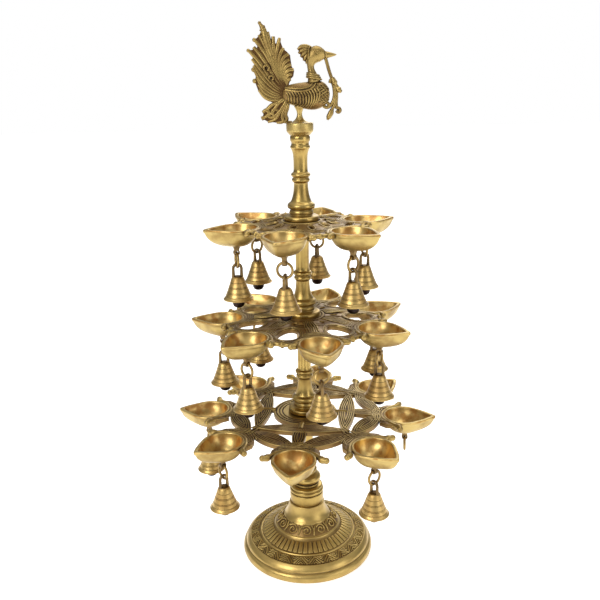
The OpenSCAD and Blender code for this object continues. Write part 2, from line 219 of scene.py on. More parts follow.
def spread(tree, source, low, high, out_low=0.0, out_high=1.0):
    """Maps a value from low..high to out_low..out_high with a soft start and end."""
    node = tree.nodes.new("ShaderNodeMapRange")
    node.interpolation_type = "SMOOTHSTEP"
    node.inputs["From Min"].default_value = low
    node.inputs["From Max"].default_value = high
    node.inputs["To Min"].default_value = out_low
    node.inputs["To Max"].default_value = out_high
    tree.links.new(source, node.inputs["Value"])
    return node.outputs["Result"]


def blend_colour(tree, factor, a, b):
    """Mixes two colours by a factor; each colour is a tuple or a node's output."""
    node = tree.nodes.new("ShaderNodeMix")
    node.data_type = "RGBA"
    tree.links.new(factor, node.inputs[FACTOR])
    for index, colour in ((COLOUR_A, a), (COLOUR_B, b)):
        if isinstance(colour, tuple):
            node.inputs[index].default_value = (*colour, 1.0)
        else:
            tree.links.new(colour, node.inputs[index])
    return node.outputs[COLOUR_OUT]


def noise(tree, where, scale, detail=3.0, stretch=(1.0, 1.0, 1.0)):
    """Noise with features of about 1/scale metres, stretched along the axes."""
    mapping = tree.nodes.new("ShaderNodeMapping")
    mapping.inputs["Scale"].default_value = stretch
    tree.links.new(where, mapping.inputs["Vector"])
    node = tree.nodes.new("ShaderNodeTexNoise")
    node.inputs["Scale"].default_value = scale
    node.inputs["Detail"].default_value = detail
    tree.links.new(mapping.outputs["Vector"], node.inputs["Vector"])
    return node.outputs["Fac"]


def arithmetic(tree, operation, a, b):
    """A Math node on two values, each a number or a node's output."""
    node = tree.nodes.new("ShaderNodeMath")
    node.operation = operation
    for index, value in enumerate((a, b)):
        if isinstance(value, (int, float)):
            node.inputs[index].default_value = value
        else:
            tree.links.new(value, node.inputs[index])
    return node.outputs["Value"]


print("node helpers ready")

# %% [markdown]
# `brass` builds the finish from the outside in. The gold is broken up by cloudy tarnish, dark
# patina and painted shade fill the recesses, a fine noise stretched round the axis gives lathe
# marks, and a small noise gives the grain of the sand mould. Every pattern reads Object
# coordinates, and each piece's object sits at the origin, so a pattern stays where it is when a bell swings.

# %% The brass finish
# The colour that recesses darken to: partly the patina of old brass, partly painted shade.
PATINA_AND_SHADE = (0.045, 0.022, 0.008)


def brass(name, gold, tarnish, patina_and_shade=PATINA_AND_SHADE, rough=0.25, reach=3.0, depth=1.0,
          cloud=(0.42, 0.72), lathe=0.0, grain=0.15, cloud_size=18.0):
    """A brass: reach is how far the darkening of a recess spreads out of it in mm, depth how dark it gets;
    the darkening is partly old oxide and partly painted shade.
    """
    material = bpy.data.materials.new(name)
    material.use_nodes = True
    tree = material.node_tree
    shader = tree.nodes["Principled BSDF"]
    where = tree.nodes.new("ShaderNodeTexCoord").outputs["Object"]

    clouds = noise(tree, where, 1000.0 / cloud_size, 5.0)
    speckle = noise(tree, where, 900.0, 2.0)
    # An ambient occlusion node finds the recesses; the mask darkens them towards the recess colour and lowers
    # the metallic there: partly real patina, partly painted shade.
    recess = tree.nodes.new("ShaderNodeAmbientOcclusion")
    recess.samples = 8
    recess.only_local = True
    recess.inputs["Distance"].default_value = reach * MM
    hidden = spread(tree, recess.outputs["AO"], 0.4, 0.92, 1.0, 0.0)
    patina_and_shade_mask = arithmetic(tree, "MULTIPLY", hidden, spread(tree, clouds, 0.2, 0.55, 0.8, 1.0))
    patina_and_shade_mask = arithmetic(tree, "MULTIPLY", patina_and_shade_mask, depth)

    surface = blend_colour(tree, spread(tree, clouds, *cloud), gold, tarnish)
    surface = blend_colour(tree, spread(tree, speckle, 0.62, 0.8, 0.0, 0.35), surface, tarnish)
    colour = blend_colour(tree, patina_and_shade_mask, surface, patina_and_shade)
    tree.links.new(colour, shader.inputs["Base Color"])
    tree.links.new(spread(tree, patina_and_shade_mask, 0.2, 1.0, 1.0, 0.55), shader.inputs["Metallic"])
    wear = arithmetic(tree, "ADD", spread(tree, clouds, 0.3, 0.8, rough - 0.05, rough + 0.14),
                      arithmetic(tree, "MULTIPLY", patina_and_shade_mask, 0.3))
    tree.links.new(wear, shader.inputs["Roughness"])

    height = arithmetic(tree, "MULTIPLY", speckle, grain)
    if lathe:
        rings = noise(tree, where, 1500.0, 2.0, (0.02, 0.02, 1.0))
        height = arithmetic(tree, "ADD", height, arithmetic(tree, "MULTIPLY", rings, lathe))
    bump = tree.nodes.new("ShaderNodeBump")
    bump.inputs["Strength"].default_value = 0.6
    bump.inputs["Distance"].default_value = 0.25 * MM
    tree.links.new(height, bump.inputs["Height"])
    tree.links.new(bump.outputs["Normal"], shader.inputs["Normal"])
    shader.inputs["Coat Weight"].default_value = 0.2
    shader.inputs["Coat Roughness"].default_value = 0.3
    return material


# %% [markdown]
# The lamp's finishes, from the brightest to the darkest. Clappers are black iron.

# %% Make the finishes
OLD_GOLD = (0.43, 0.30, 0.095)
turned_brass = brass("turned_brass", (0.47, 0.325, 0.098), (0.35, 0.225, 0.062), rough=0.3,
                     reach=4.0, depth=0.95, lathe=0.12, grain=0.03)
base_brass = brass("base_brass", (0.51, 0.355, 0.113), (0.40, 0.27, 0.086), rough=0.36, reach=3.0, depth=0.95,
                   lathe=0.1, grain=0.05)
chased_brass = brass("chased_brass", (0.52, 0.365, 0.118), (0.43, 0.29, 0.09), rough=0.42,
                     reach=1.5, grain=0.08)
ground_brass = brass("ground_brass", (0.33, 0.22, 0.07), (0.235, 0.147, 0.047), rough=0.42,
                     reach=2.4, grain=0.15)
cast_brass = brass("cast_brass", OLD_GOLD, (0.31, 0.205, 0.065), rough=0.4, reach=3.0,
                   grain=0.25, cloud=(0.38, 0.66))
bird_brass = brass("bird_brass", (0.37, 0.255, 0.08), (0.255, 0.165, 0.05), rough=0.4, reach=2.8,
                   grain=0.15, cloud=(0.38, 0.66))
# Near-black brown for the grooves of leaves and hubs and the webs behind feathers: partly patina, partly
# painted shade in the deep hollows.
hollow_patina_and_shade = brass("hollow_patina_and_shade", (0.125, 0.064, 0.021), (0.075, 0.037, 0.013), rough=0.5,
                     reach=3.0, grain=0.3)
# Dark brown for the ground of chased work and the tops of plates, and painted shade on the side and bottom
# faces of leaves, hubs and plates.
ground_and_shade_brass = brass("ground_and_shade_brass", (0.25, 0.152, 0.05), (0.16, 0.09, 0.029), rough=0.44,
                    reach=3.0, grain=0.3)
# The inside of a cup darkens over a 9 mm reach: painted shade down the walls of the bowl, along with its
# patina.
cup_inside = brass("cup_inside", (0.62, 0.435, 0.155), (0.43, 0.225, 0.062), rough=0.38, reach=9.0,
                   depth=0.65, cloud=(0.44, 0.62), grain=0.12, cloud_size=11.0)
cup_outside = brass("cup_outside", (0.53, 0.39, 0.135), (0.36, 0.24, 0.078), rough=0.44,
                    reach=4.0, depth=0.85, grain=0.15, cloud=(0.4, 0.64))
bell_brass = brass("bell_brass", (0.57, 0.39, 0.135), (0.47, 0.285, 0.088), rough=0.38, reach=0.7,
                   depth=0.95, lathe=0.35, grain=0.05)
# Dark brown for lugs, bell loops, staples, bell grooves and crowns; inside the bells it is painted shade.
dark_brass_and_bell_shade = brass("dark_brass_and_bell_shade", (0.23, 0.145, 0.052), (0.11, 0.067, 0.026), rough=0.42, reach=2.0,
                    grain=0.2)
ring_brass = brass("ring_brass", (0.36, 0.235, 0.075), (0.22, 0.135, 0.042), rough=0.35, reach=2.0,
                   grain=0.15)
clapper_iron = brass("clapper_iron", (0.020, 0.011, 0.009), (0.035, 0.014, 0.010),
                     patina_and_shade=(0.008, 0.006, 0.005), rough=0.42, grain=0.4)
print("finishes:", len(bpy.data.materials))

# %% [markdown]
# ## Turned pieces
# A lathe turns a profile about its axis, and Blender's spin does the same. The profile is
# extruded point by point from a single vertex, spun once round, and closed at the axis.
# Points that lie close together keep an edge crisp when subdivision rounds the rest.

# %% A lathe
STEPS = 48


def turned(name, profile, steps=STEPS, rounding=1, angle=50):
    """Spins a profile of (radius, height) points in mm round the Z axis."""
    clear()
    bpy.ops.mesh.primitive_plane_add(size=MM)
    piece = bpy.context.object
    piece.name = name
    bpy.ops.object.mode_set(mode="EDIT")
    bpy.ops.mesh.merge(type="CENTER")
    radius, height = profile[0]
    bpy.ops.transform.translate(value=(radius * MM, 0, height * MM))
    for (r0, z0), (r1, z1) in zip(profile, profile[1:]):
        step = ((r1 - r0) * MM, 0, (z1 - z0) * MM)
        bpy.ops.mesh.extrude_region_move(TRANSFORM_OT_translate={"value": step})
    bpy.ops.mesh.select_all(action="SELECT")
    bpy.ops.mesh.spin(steps=steps, angle=math.tau, center=(0, 0, 0), axis=(0, 0, 1))
    bpy.ops.mesh.select_all(action="SELECT")
    bpy.ops.mesh.remove_doubles(threshold=0.005 * MM)
    bpy.ops.mesh.normals_make_consistent(inside=False)
    bpy.ops.object.mode_set(mode="OBJECT")
    if rounding:
        modify(piece, "SUBSURF", levels=rounding, render_levels=rounding)
    smooth(piece, angle)
    return piece


def shifted(profile, height):
    """A profile moved up by height."""
    return [(r, z + height) for r, z in profile]


# %% [markdown]
# A stem stands on a wide foot ring. Above it come a hollow, a bead and a collar, then a flare
# up to the slim column, a pair of beads at half height, and a crown of two beads that holds
# the next tray. All three stems share one pattern, so one function gives them their profile.

# %% Stems


def stem_profile(height):
    """Profile of a stem, from the tray that it stands on up to the next tray."""
    foot = [
        (0, 0), (18.2, 0), (18.9, 0.5), (18.9, 4.2), (18.3, 5), (17.6, 5.8), (12.9, 6.4),
        (12.3, 7), (12.6, 7.8), (13, 9.4), (12.4, 11.2), (11.6, 12), (11.8, 12.8),
        (14, 13.4), (14.9, 14.8), (14.8, 17), (14, 18.6), (12.2, 19.8), (11.4, 20.2),
        (10.6, 21.6), (9.4, 25), (8.4, 29), (7.8, 34), (7.5, 39), (7.5, 40.6),
    ]
    beads = [
        (8.2, 41), (9.4, 42), (9.6, 43.4), (9.2, 44.8), (8.3, 45.6), (8.3, 46.1),
        (9.4, 46.8), (10.4, 48.2), (10.3, 49.6), (9.2, 50.8), (7.8, 51.4), (7.4, 52.4),
    ]
    crown = [
        (7.4, -22), (7.9, -18.4), (8.8, -15.4), (9.6, -13.4), (10.3, -12.6), (10.5, -11.4),
        (10.1, -10.2), (9.4, -9.6), (9.2, -8.2), (9.3, -6.8), (9.9, -5.9), (10.5, -5),
        (10.6, -2), (10.2, -0.2), (9.8, 0), (0, 0),
    ]
    return foot + beads + shifted(crown, height)


for tier in tiers:
    node = tier + "_stem"
    bottom = tiers[tier]["top"]
    top = height_of(node)
    stem = turned(node + "_turning", shifted(stem_profile(top - bottom), bottom))
    paint(stem, turned_brass)
    bring(stem, "stand", "turned_brass", node)
    print(stem.name, round(bottom, 1), "to", round(top, 1), "mm")

# %% [markdown]
# The pedestal is the heaviest turning. It stands on the base's neck and has a broad collar,
# two soft beads, a round knob and a column that spreads under the lower tray.

# %% Pedestal
pedestal_foot = height_of("base")
pedestal_height = height_of("pedestal") - pedestal_foot
pedestal_profile = [
    (0, 0), (19.4, 0), (19.9, 0.6), (19.9, 11.4), (19.6, 12.1), (18.4, 12.6), (19.2, 13.1),
    (20.2, 14.2), (20.3, 15.8), (19.6, 17.2), (18.2, 17.7), (18.6, 18.2), (19.3, 19.2), (19, 20.6),
    (17.4, 21.5), (15, 22), (14.2, 22.3), (14.7, 22.9), (15.1, 23.8), (14.6, 24.7), (12.9, 25),
    (12.9, 25.5), (14.8, 26.3), (16.7, 28.4), (17.3, 30.6), (16.9, 32.8), (15.2, 35), (12.6, 36.8),
    (11.2, 37.6), (11, 38.8), (11.6, 39.6), (12.8, 40.6), (12.8, 42.2), (11.6, 43.2), (10.2, 44.2),
    (9.2, 48), (8.5, 54), (8.2, 60), (8.2, 63.6), (9.2, 64.4), (10.2, 66), (10, 67.6),
    (9.2, 68.4), (10, 69.4), (10.8, 71), (10.2, 72.6), (9, 73.6), (8.4, 75.4),
    (8.6, pedestal_height - 24), (10.4, pedestal_height - 15), (12.3, pedestal_height - 9),
    (13.1, pedestal_height - 7.6), (12.9, pedestal_height - 5.8), (14.4, pedestal_height - 4.8),
    (15.3, pedestal_height - 3.4), (15.3, pedestal_height - 0.4), (14.9, pedestal_height),
    (0, pedestal_height),
]
pedestal = turned("pedestal_turning", shifted(pedestal_profile, pedestal_foot))
paint(pedestal, turned_brass)
bring(pedestal, "stand", "turned_brass", "pedestal")
print("pedestal", round(pedestal_height, 1), "mm high")

# %% [markdown]
# ## The base
# The base is one broad casting, hollow below. From the rim inwards it has a rolled foot, a
# groove, a polished band, a band of hatched triangles, a band of flutes, a band of scrolls
# and a polished neck. The body is turned first, and the raised work is laid on it after.

# %% Base body
base_top = height_of("base")
base_outside = [
    (73.8, 0), (76.6, 0.2), (77.7, 1.4), (78, 3.4), (77.9, 5.6), (77.1, 8), (75.6, 9.6), (74.4, 10.1),
    (73.3, 10.8), (74.4, 11.5), (74.8, 12.6), (73.6, 15), (72, 17), (70.4, 18.3), (69.9, 18.9),
    (69.2, 19.2), (68.8, 18.7), (67.6, 19.0), (63.4, 20.8), (58.4, 22.2), (57.2, 22.4),
    (56.9, 23.3), (56.1, 23.8), (55.3, 23.6), (55, 23.2), (54.2, 23.5), (50, 25), (44, 27.9),
    (39.4, 31.0), (38.9, 32.3), (38.2, 33.3), (37.3, 33.5), (36.8, 34.2), (35.2, 36), (31.6, 39.6),
    (28.4, 42.8), (27.5, 43.9), (27.2, 44.9), (26.4, 45.4), (24.6, 48), (23, 51.4), (21.8, 55.4),
    (21, 59.4), (20.7, base_top - 0.6), (20.2, base_top), (0, base_top),
]
base_inside = [
    (0, 44), (12, 43), (20, 39), (27, 33), (36, 27), (48, 22), (62, 17.5), (67, 15), (70, 10),
    (70.2, 1), (70.8, 0),
]
base_body = turned("base_body", base_inside + base_outside, steps=72)
paint(base_body, base_brass, ground_brass, ground_and_shade_brass)
for face in base_body.data.polygons:
    radius = math.hypot(face.center.x, face.center.y) / MM
    chased = 28.2 < radius < 36.9 or 38.9 < radius < 54.9 or 57.3 < radius < 68.9
    if chased and face.normal.z > 0:
        face.material_index = 2 if radius < 37 else 1
print("base body", len(base_body.data.polygons), "faces")

# %% [markdown]
# The raised work sits on the sloping face, so its heights come from the same profile. A wire
# is a curve with a round bevel: it gets its thickness from the curve and is then made a mesh.
# Many short wires share one curve, which keeps the bands light.

# %% Wires laid on a surface


def base_height(radius):
    """Height in mm of the base's outside at a radius."""
    points = base_outside[5:-1]
    for (r0, z0), (r1, z1) in zip(points, points[1:]):
        if min(r0, r1) <= radius <= max(r0, r1) and r0 != r1:
            return z0 + (z1 - z0) * (radius - r0) / (r1 - r0)
    return 0.0


def wires(name, lines, thickness, sides=1, smoothness=3, closed=False, shares=None):
    """Round wires through points in mm, all in one mesh; shares thin each line along its way."""
    clear()
    curve = bpy.data.curves.new(name, "CURVE")
    curve.dimensions = "3D"
    curve.bevel_depth = thickness / 2 * MM
    curve.bevel_resolution = sides
    curve.resolution_u = smoothness
    curve.use_fill_caps = not closed
    for line in lines:
        spline = curve.splines.new("BEZIER")
        spline.bezier_points.add(len(line) - 1)
        spline.use_cyclic_u = closed
        for index, (point, place) in enumerate(zip(spline.bezier_points, line)):
            point.co = Vector(place) * MM
            point.handle_left_type = "AUTO"
            point.handle_right_type = "AUTO"
            if shares:
                position = index / (len(line) - 1) * (len(shares) - 1)
                low = min(int(position), len(shares) - 2)
                part = position - low
                point.radius = shares[low] * (1 - part) + shares[low + 1] * part
    piece = bpy.data.objects.new(name, curve)
    bpy.context.scene.collection.objects.link(piece)
    pick(piece)
    bpy.ops.object.convert(target="MESH")
    piece = bpy.context.object
    smooth(piece, 60)
    return piece


def on_base(radius, angle, lift=0.0):
    """A point on the base's face in mm."""
    return (radius * math.cos(angle), radius * math.sin(angle), base_height(radius) + lift)


print("base height at 60 mm:", round(base_height(60), 2))

# %% [markdown]
# A flute is a bar with round ends, wider outside than inside. One is cut from a cube, its
# corners bevelled in edit mode, and then copied round the band.

# %% Flutes
FLUTES = 54
FLUTE_IN, FLUTE_OUT = 40.2, 54.4


def flute_bar():
    """One flute, lying along X with its middle at the origin."""
    clear()
    bpy.ops.mesh.primitive_cube_add(size=MM)
    bar = bpy.context.object
    bpy.ops.object.mode_set(mode="EDIT")
    bpy.ops.transform.resize(value=(FLUTE_OUT - FLUTE_IN, 5.0, 2.6))
    mesh = bmesh.from_edit_mesh(bar.data)
    for vert in mesh.verts:
        vert.select_set(vert.co.x < 0)
    mesh.select_flush_mode()
    bmesh.update_edit_mesh(bar.data)
    bpy.ops.transform.resize(value=(1, 0.72, 1), center_override=(0, 0, 0))
    mesh = bmesh.from_edit_mesh(bar.data)
    for edge in mesh.edges:
        a, b = (vert.co for vert in edge.verts)
        edge.select_set(abs(a.z - b.z) > MM)
    bmesh.update_edit_mesh(bar.data)
    bpy.ops.mesh.bevel(offset=1.5 * MM, segments=3)
    mesh = bmesh.from_edit_mesh(bar.data)
    for edge in mesh.edges:
        edge.select_set(all(vert.co.z > MM for vert in edge.verts))
    bmesh.update_edit_mesh(bar.data)
    bpy.ops.mesh.bevel(offset=0.6 * MM, segments=2)
    bpy.ops.object.mode_set(mode="OBJECT")
    smooth(bar, 60)
    return bar


flute = flute_bar()
slope = math.atan2(base_height(FLUTE_IN) - base_height(FLUTE_OUT), FLUTE_OUT - FLUTE_IN)
middle = (FLUTE_IN + FLUTE_OUT) / 2
seat = at(middle, 0, base_height(middle) - 0.1) @ turn(slope, "Y")
flutes = [copy_of(flute, turn(math.tau * k / FLUTES) @ seat, "flute") for k in range(FLUTES)]
bpy.data.objects.remove(flute)
flute_band = joined("flute_band", flutes)
paint(flute_band, chased_brass)
print("flutes:", FLUTES, "slope", round(math.degrees(slope), 1))

# %% [markdown]
# The outer band is a zigzag. Inside each of its triangles stand two smaller chevrons, like
# the hatching that a chaser cuts with a small chisel. The inner band is a run of scrolls:
# each is a spiral with a tail that reaches over to its neighbour.

# %% Hatched triangles
TRIANGLES = 24
BAND_IN, BAND_OUT = 58.6, 68.2


def chevron(angle, width, low, high):
    """Three points of a chevron on the base's face, from low out to high and back."""
    return [on_base(low, angle - width, 0.3), on_base(high, angle, 0.3), on_base(low, angle + width, 0.3)]


chevrons = []
for k in range(TRIANGLES):
    half = math.pi / TRIANGLES
    for centre, near, far in ((k * 2 * half, BAND_IN, BAND_OUT), ((k * 2 + 1) * half, BAND_OUT, BAND_IN)):
        reach = far - near
        for share in (0.92, 0.6, 0.3):
            inner = near + reach * 0.04
            chevrons.append(chevron(centre, half * share, inner, near + reach * share))
straight = [[a, tuple((Vector(a) + Vector(b)) / 2), b] for line in chevrons for a, b in zip(line, line[1:])]
triangle_band = wires("triangle_band", straight, 1.35, sides=1, smoothness=1)
paint(triangle_band, chased_brass)
print("chevrons:", len(chevrons))

# %% Scrolls
SCROLLS = 12
SCROLL_MIDDLE = 32.4


def on_scroll_band(angle, across, along):
    """A point of the scroll band: across runs round the base, along runs up the slope."""
    radius = SCROLL_MIDDLE - along * 0.72
    return on_base(radius, angle + across / SCROLL_MIDDLE, 0.45)


def scroll(angle):
    """A spiral, its tail and a leaf."""
    spiral = []
    for k in range(15):
        turned_by = math.radians(150 - 40 * k)
        size = 6.1 * (1 - k / 17)
        spiral.append(on_scroll_band(angle, size * math.cos(turned_by) - 1, size * math.sin(turned_by) - 0.4))
    tail = [on_scroll_band(angle, x, y) for x, y in ((-10.2, -5.8), (-9.4, -1.6), (-7.6, 3.4), (-3.6, 6.0))]
    leaf = [on_scroll_band(angle, x, y) for x, y in ((5.6, 5.6), (7.0, 1.6), (7.8, -2.8))]
    return [spiral, tail, leaf]


scroll_lines = [line for k in range(SCROLLS) for line in scroll(math.tau * k / SCROLLS)]
scroll_band = wires("scroll_band", scroll_lines, 1.7, sides=1, smoothness=2)
paint(scroll_band, chased_brass)
base = joined("base_casting", [base_body, flute_band, triangle_band, scroll_band])
bring(base, "stand", "base_brass", "base")
print("base casting", len(base.data.polygons), "faces")

# %% [markdown]
# ## Cups
# An oil cup is a small boat: round behind, drawn out to a spout in front, with a thick rim. It
# starts as a circle whose front is pulled out to the spout. The rim's edge is then extruded
# ring by ring, down the outside and up the inside. Outer rings are scaled about the bowl's
# middle, and inner rings a little behind it, so the rim is broad at the spout.

# %% One oil cup
CUP_LENGTH, CUP_WIDTH = 60.0, 47.0
BOWL = CUP_WIDTH / 2
TIP = CUP_LENGTH - BOWL


def pulled_to_spout(x, y):
    """Moves a point of the bowl's circle out to the teardrop plan, in mm from its middle."""
    angle = math.atan2(y, x)
    tangent = math.acos(BOWL / TIP)
    share = abs(angle) / tangent
    if share >= 1:
        return x, y
    touch = Vector((BOWL * math.cos(tangent), BOWL * math.sin(tangent)))
    belly = 1.1 * math.sin(math.pi * share)
    place = Vector((TIP + 0.6, 0)) * (1 - share) + touch * share
    place += Vector((math.cos(tangent), math.sin(tangent))) * belly
    return place.x, math.copysign(place.y, y) if share > 0.01 else 0.0


def oil_cup():
    """A cup with its rim at zero height, its bowl's middle at the origin and its spout along X."""
    clear()
    bpy.ops.mesh.primitive_circle_add(vertices=40, radius=BOWL * MM)
    cup = bpy.context.object
    for vert in cup.data.vertices:
        x, y = pulled_to_spout(vert.co.x / MM, vert.co.y / MM)
        vert.co = Vector((x, y, -0.7)) * MM
    outside = ((1.0, -2.6), (0.985, -3.4), (0.955, -4.2), (0.93, -6.6), (0.875, -10), (0.78, -13.4),
               (0.64, -16.4), (0.46, -18.8), (0.25, -20.2), (0.06, -20.5))
    inside = ((0.985, -0.15), (0.95, 0.05), (0.89, 0.05), (0.865, -0.3), (0.85, -1.6), (0.82, -4.6),
              (0.75, -8), (0.64, -11.4), (0.5, -14.2), (0.32, -16.4), (0.14, -17.5), (0.02, -17.8))
    for rings in (outside, inside):
        pick(cup)
        bpy.ops.object.mode_set(mode="EDIT")
        mesh = bmesh.from_edit_mesh(cup.data)
        for edge in mesh.edges:
            edge.select_set(all(abs(vert.co.z + 0.7 * MM) < 1e-7 for vert in edge.verts))
        bmesh.update_edit_mesh(cup.data)
        size, height = 1.0, -0.7
        for new_size, new_height in rings:
            bpy.ops.mesh.extrude_edges_move()
            bpy.ops.transform.translate(value=(0, 0, (new_height - height) * MM))
            share = new_size / size
            middle = (-6 * MM if rings is inside else 0, 0, new_height * MM)
            bpy.ops.transform.resize(value=(share, share, 1), center_override=middle)
            size, height = new_size, new_height
        bpy.ops.mesh.merge(type="CENTER")
    bpy.ops.mesh.select_all(action="SELECT")
    bpy.ops.mesh.normals_make_consistent(inside=False)
    bpy.ops.object.mode_set(mode="OBJECT")
    modify(cup, "SUBSURF", levels=1, render_levels=1)
    smooth(cup, 55)
    paint(cup, cup_outside, cup_inside)
    for face in cup.data.polygons:
        x, y = face.center.x, face.center.y
        inner = face.normal.z > 0.05 and face.center.z < -0.3 * MM
        facing_in = face.normal.x * x + face.normal.y * y < 0
        if inner or (facing_in and face.center.z < -0.3 * MM):
            face.material_index = 1
    return cup


cup_pattern = oil_cup()
print("cup pattern:", len(cup_pattern.data.polygons), "faces")

# %% [markdown]
# Under a cup hangs its lug: a short tapered tab with a round end and a hole across it. The tab
# is a cylinder on its side, extruded upwards and widened, and the hole is a boolean cut.

# %% One lug
LUG_DROP, LUG_HOLE = 27.15, 4.0


def lug_tab():
    """A lug with its hole's middle at the origin and the hole along Y."""
    clear()
    bpy.ops.mesh.primitive_cylinder_add(vertices=24, radius=3.5 * MM, depth=4.4 * MM,
                                        rotation=(math.pi / 2, 0, 0))
    lug = bpy.context.object
    bpy.ops.object.transform_apply(location=False, rotation=True, scale=False)
    bpy.ops.object.mode_set(mode="EDIT")
    mesh = bmesh.from_edit_mesh(lug.data)
    for face in mesh.faces:
        face.select_set(abs(face.normal.y) < 0.5 and face.normal.z > 0.75)
    bmesh.update_edit_mesh(lug.data)
    for rise, wider, thicker in ((1.6, 1.15, 1.05), (2.4, 1.35, 1.35), (1.1, 1.09, 1.13)):
        bpy.ops.mesh.extrude_region_move(TRANSFORM_OT_translate={"value": (0, 0, rise * MM)})
        bpy.ops.transform.resize(value=(wider, thicker, 0.4))
    bpy.ops.object.mode_set(mode="OBJECT")
    bpy.ops.mesh.primitive_cylinder_add(vertices=24, radius=LUG_HOLE / 2 * MM, depth=20 * MM,
                                        rotation=(math.pi / 2, 0, 0))
    drill = bpy.context.object
    modify(lug, "BOOLEAN", operation="DIFFERENCE", object=drill)
    bpy.data.objects.remove(drill)
    modify(lug, "BEVEL", width=0.5 * MM, segments=2, limit_method="ANGLE")
    smooth(lug, 50)
    paint(lug, dark_brass_and_bell_shade)
    return lug


lug_pattern = lug_tab()
print("lug pattern:", len(lug_pattern.data.polygons), "faces")

# %% [markdown]
# ## Leaves of the openwork
# The trays are pierced plates of pointed leaves. A leaf is the overlap of two circles, so half
# of it is a circle cut off by one bisect, and a mirror makes the other half. Extruding gives
# the plate's thickness. Then the top is extruded inwards ring by ring, up and down by turns, which
# leaves the ridges that run along the leaf's edge.

# %% A chased leaf
PLATE = 5.0


def contour(size, inwards, rise):
    """Extrudes the selected top inwards by a distance along its edge, and up by rise, in mm.
    size is the leaf's length and width so far, and the new size is returned."""
    length, width = size
    point = 2 * math.atan(width / length)
    new_size = (length - 2 * inwards / math.sin(point), width - 2 * inwards)
    bpy.ops.mesh.extrude_region_move(TRANSFORM_OT_translate={"value": (0, 0, rise * MM)})
    bpy.ops.transform.resize(value=(new_size[0] / length, new_size[1] / width, 1),
                             center_override=(0, 0, 0))
    return new_size


def leaf(length, width, ridges=2, thick=PLATE):
    """A leaf along X with its middle at the origin and its top at zero height."""
    clear()
    radius = (length ** 2 + width ** 2) / (4 * width)
    verts = max(24, int(22 * math.tau * radius / length))
    bpy.ops.mesh.primitive_circle_add(vertices=verts, radius=radius * MM, fill_type="NGON",
                                      location=(0, (width / 2 - radius) * MM, -thick * MM))
    piece = bpy.context.object
    bpy.ops.object.transform_apply(location=True, rotation=False, scale=False)
    bpy.ops.object.mode_set(mode="EDIT")
    bpy.ops.mesh.select_all(action="SELECT")
    bpy.ops.mesh.bisect(plane_co=(0, 0, 0), plane_no=(0, 1, 0), clear_inner=True)
    bpy.ops.object.mode_set(mode="OBJECT")
    modify(piece, "MIRROR", use_axis=(False, True, False), merge_threshold=0.01 * MM)
    bpy.ops.object.mode_set(mode="EDIT")
    bpy.ops.mesh.select_all(action="SELECT")
    bpy.ops.mesh.dissolve_faces()
    bpy.ops.mesh.extrude_region_move(TRANSFORM_OT_translate={"value": (0, 0, (thick - 0.5) * MM)})
    size = contour((length, width), 0.4, 0.5)
    size = contour(size, 0.9, 0)
    pitch = (width / 2 - 1.3) / (ridges + 0.6)
    for _ in range(ridges):
        size = contour(size, pitch * 0.3, -0.9)
        size = contour(size, pitch * 0.3, 0.9)
        size = contour(size, pitch * 0.4, 0)
    contour(size, pitch * 0.25, -0.7)
    bpy.ops.mesh.select_all(action="SELECT")
    bpy.ops.mesh.normals_make_consistent(inside=False)
    bpy.ops.object.mode_set(mode="OBJECT")
    smooth(piece, 30)
    paint(piece, cast_brass, hollow_patina_and_shade, ground_and_shade_brass)
    for face in piece.data.polygons:
        # Side and bottom faces take the dark ground brass as painted shade.
        if face.normal.z < 0.15:
            face.material_index = 2
        # Faces sunk in the grooves take the near-black hollow brass: patina and painted shade.
        elif -2 * MM < face.center.z < -0.3 * MM:
            face.material_index = 1
    return piece


leaf_patterns = {}


def placed_leaf(start, end, width, height, steps=2):
    """A copy of a leaf from start to end, each (radius, angle) in mm and radians."""
    a, b = (Vector((r * math.cos(t), r * math.sin(t), 0)) for r, t in (start, end))
    along = b - a
    key = (round(along.length, 1), width, steps)
    if key not in leaf_patterns:
        leaf_patterns[key] = leaf(*key)
    middle = (a + b) / 2
    place = at(middle.x, middle.y, height) @ turn(math.atan2(along.y, along.x))
    return copy_of(leaf_patterns[key], place)


print("leaf function ready")

# %% [markdown]
# ## Plates
# Other parts of the openwork are plates cut to an outline, with holes through them. A plate is
# a flat curve with its holes as inner loops, which Blender fills and thickens. Its top is left
# dark, and the chased lines that stand on it are rubbed bright, as on the castings. Near the
# cups the whole plate dips to the height of their rims.

# %% Cast plates and chased lines


def filled_curve(name, loops, thick, edge=0.0):
    """A flat plate about zero height, from a filled curve, left in edit mode and welded."""
    clear()
    curve = bpy.data.curves.new(name, "CURVE")
    curve.dimensions = "2D"
    curve.fill_mode = "BOTH"
    curve.extrude = (thick / 2 - edge) * MM
    curve.bevel_depth = edge * MM
    curve.bevel_resolution = 1
    for loop in loops:
        spline = curve.splines.new("POLY")
        spline.points.add(len(loop) - 1)
        spline.use_cyclic_u = True
        for point, place in zip(spline.points, loop):
            point.co = (place[0] * MM, place[1] * MM, 0, 1)
    plate = bpy.data.objects.new(name, curve)
    bpy.context.scene.collection.objects.link(plate)
    pick(plate)
    bpy.ops.object.convert(target="MESH")
    plate = bpy.context.object
    bpy.ops.object.mode_set(mode="EDIT")
    bpy.ops.mesh.select_all(action="SELECT")
    bpy.ops.mesh.remove_doubles(threshold=0.01 * MM)
    return plate


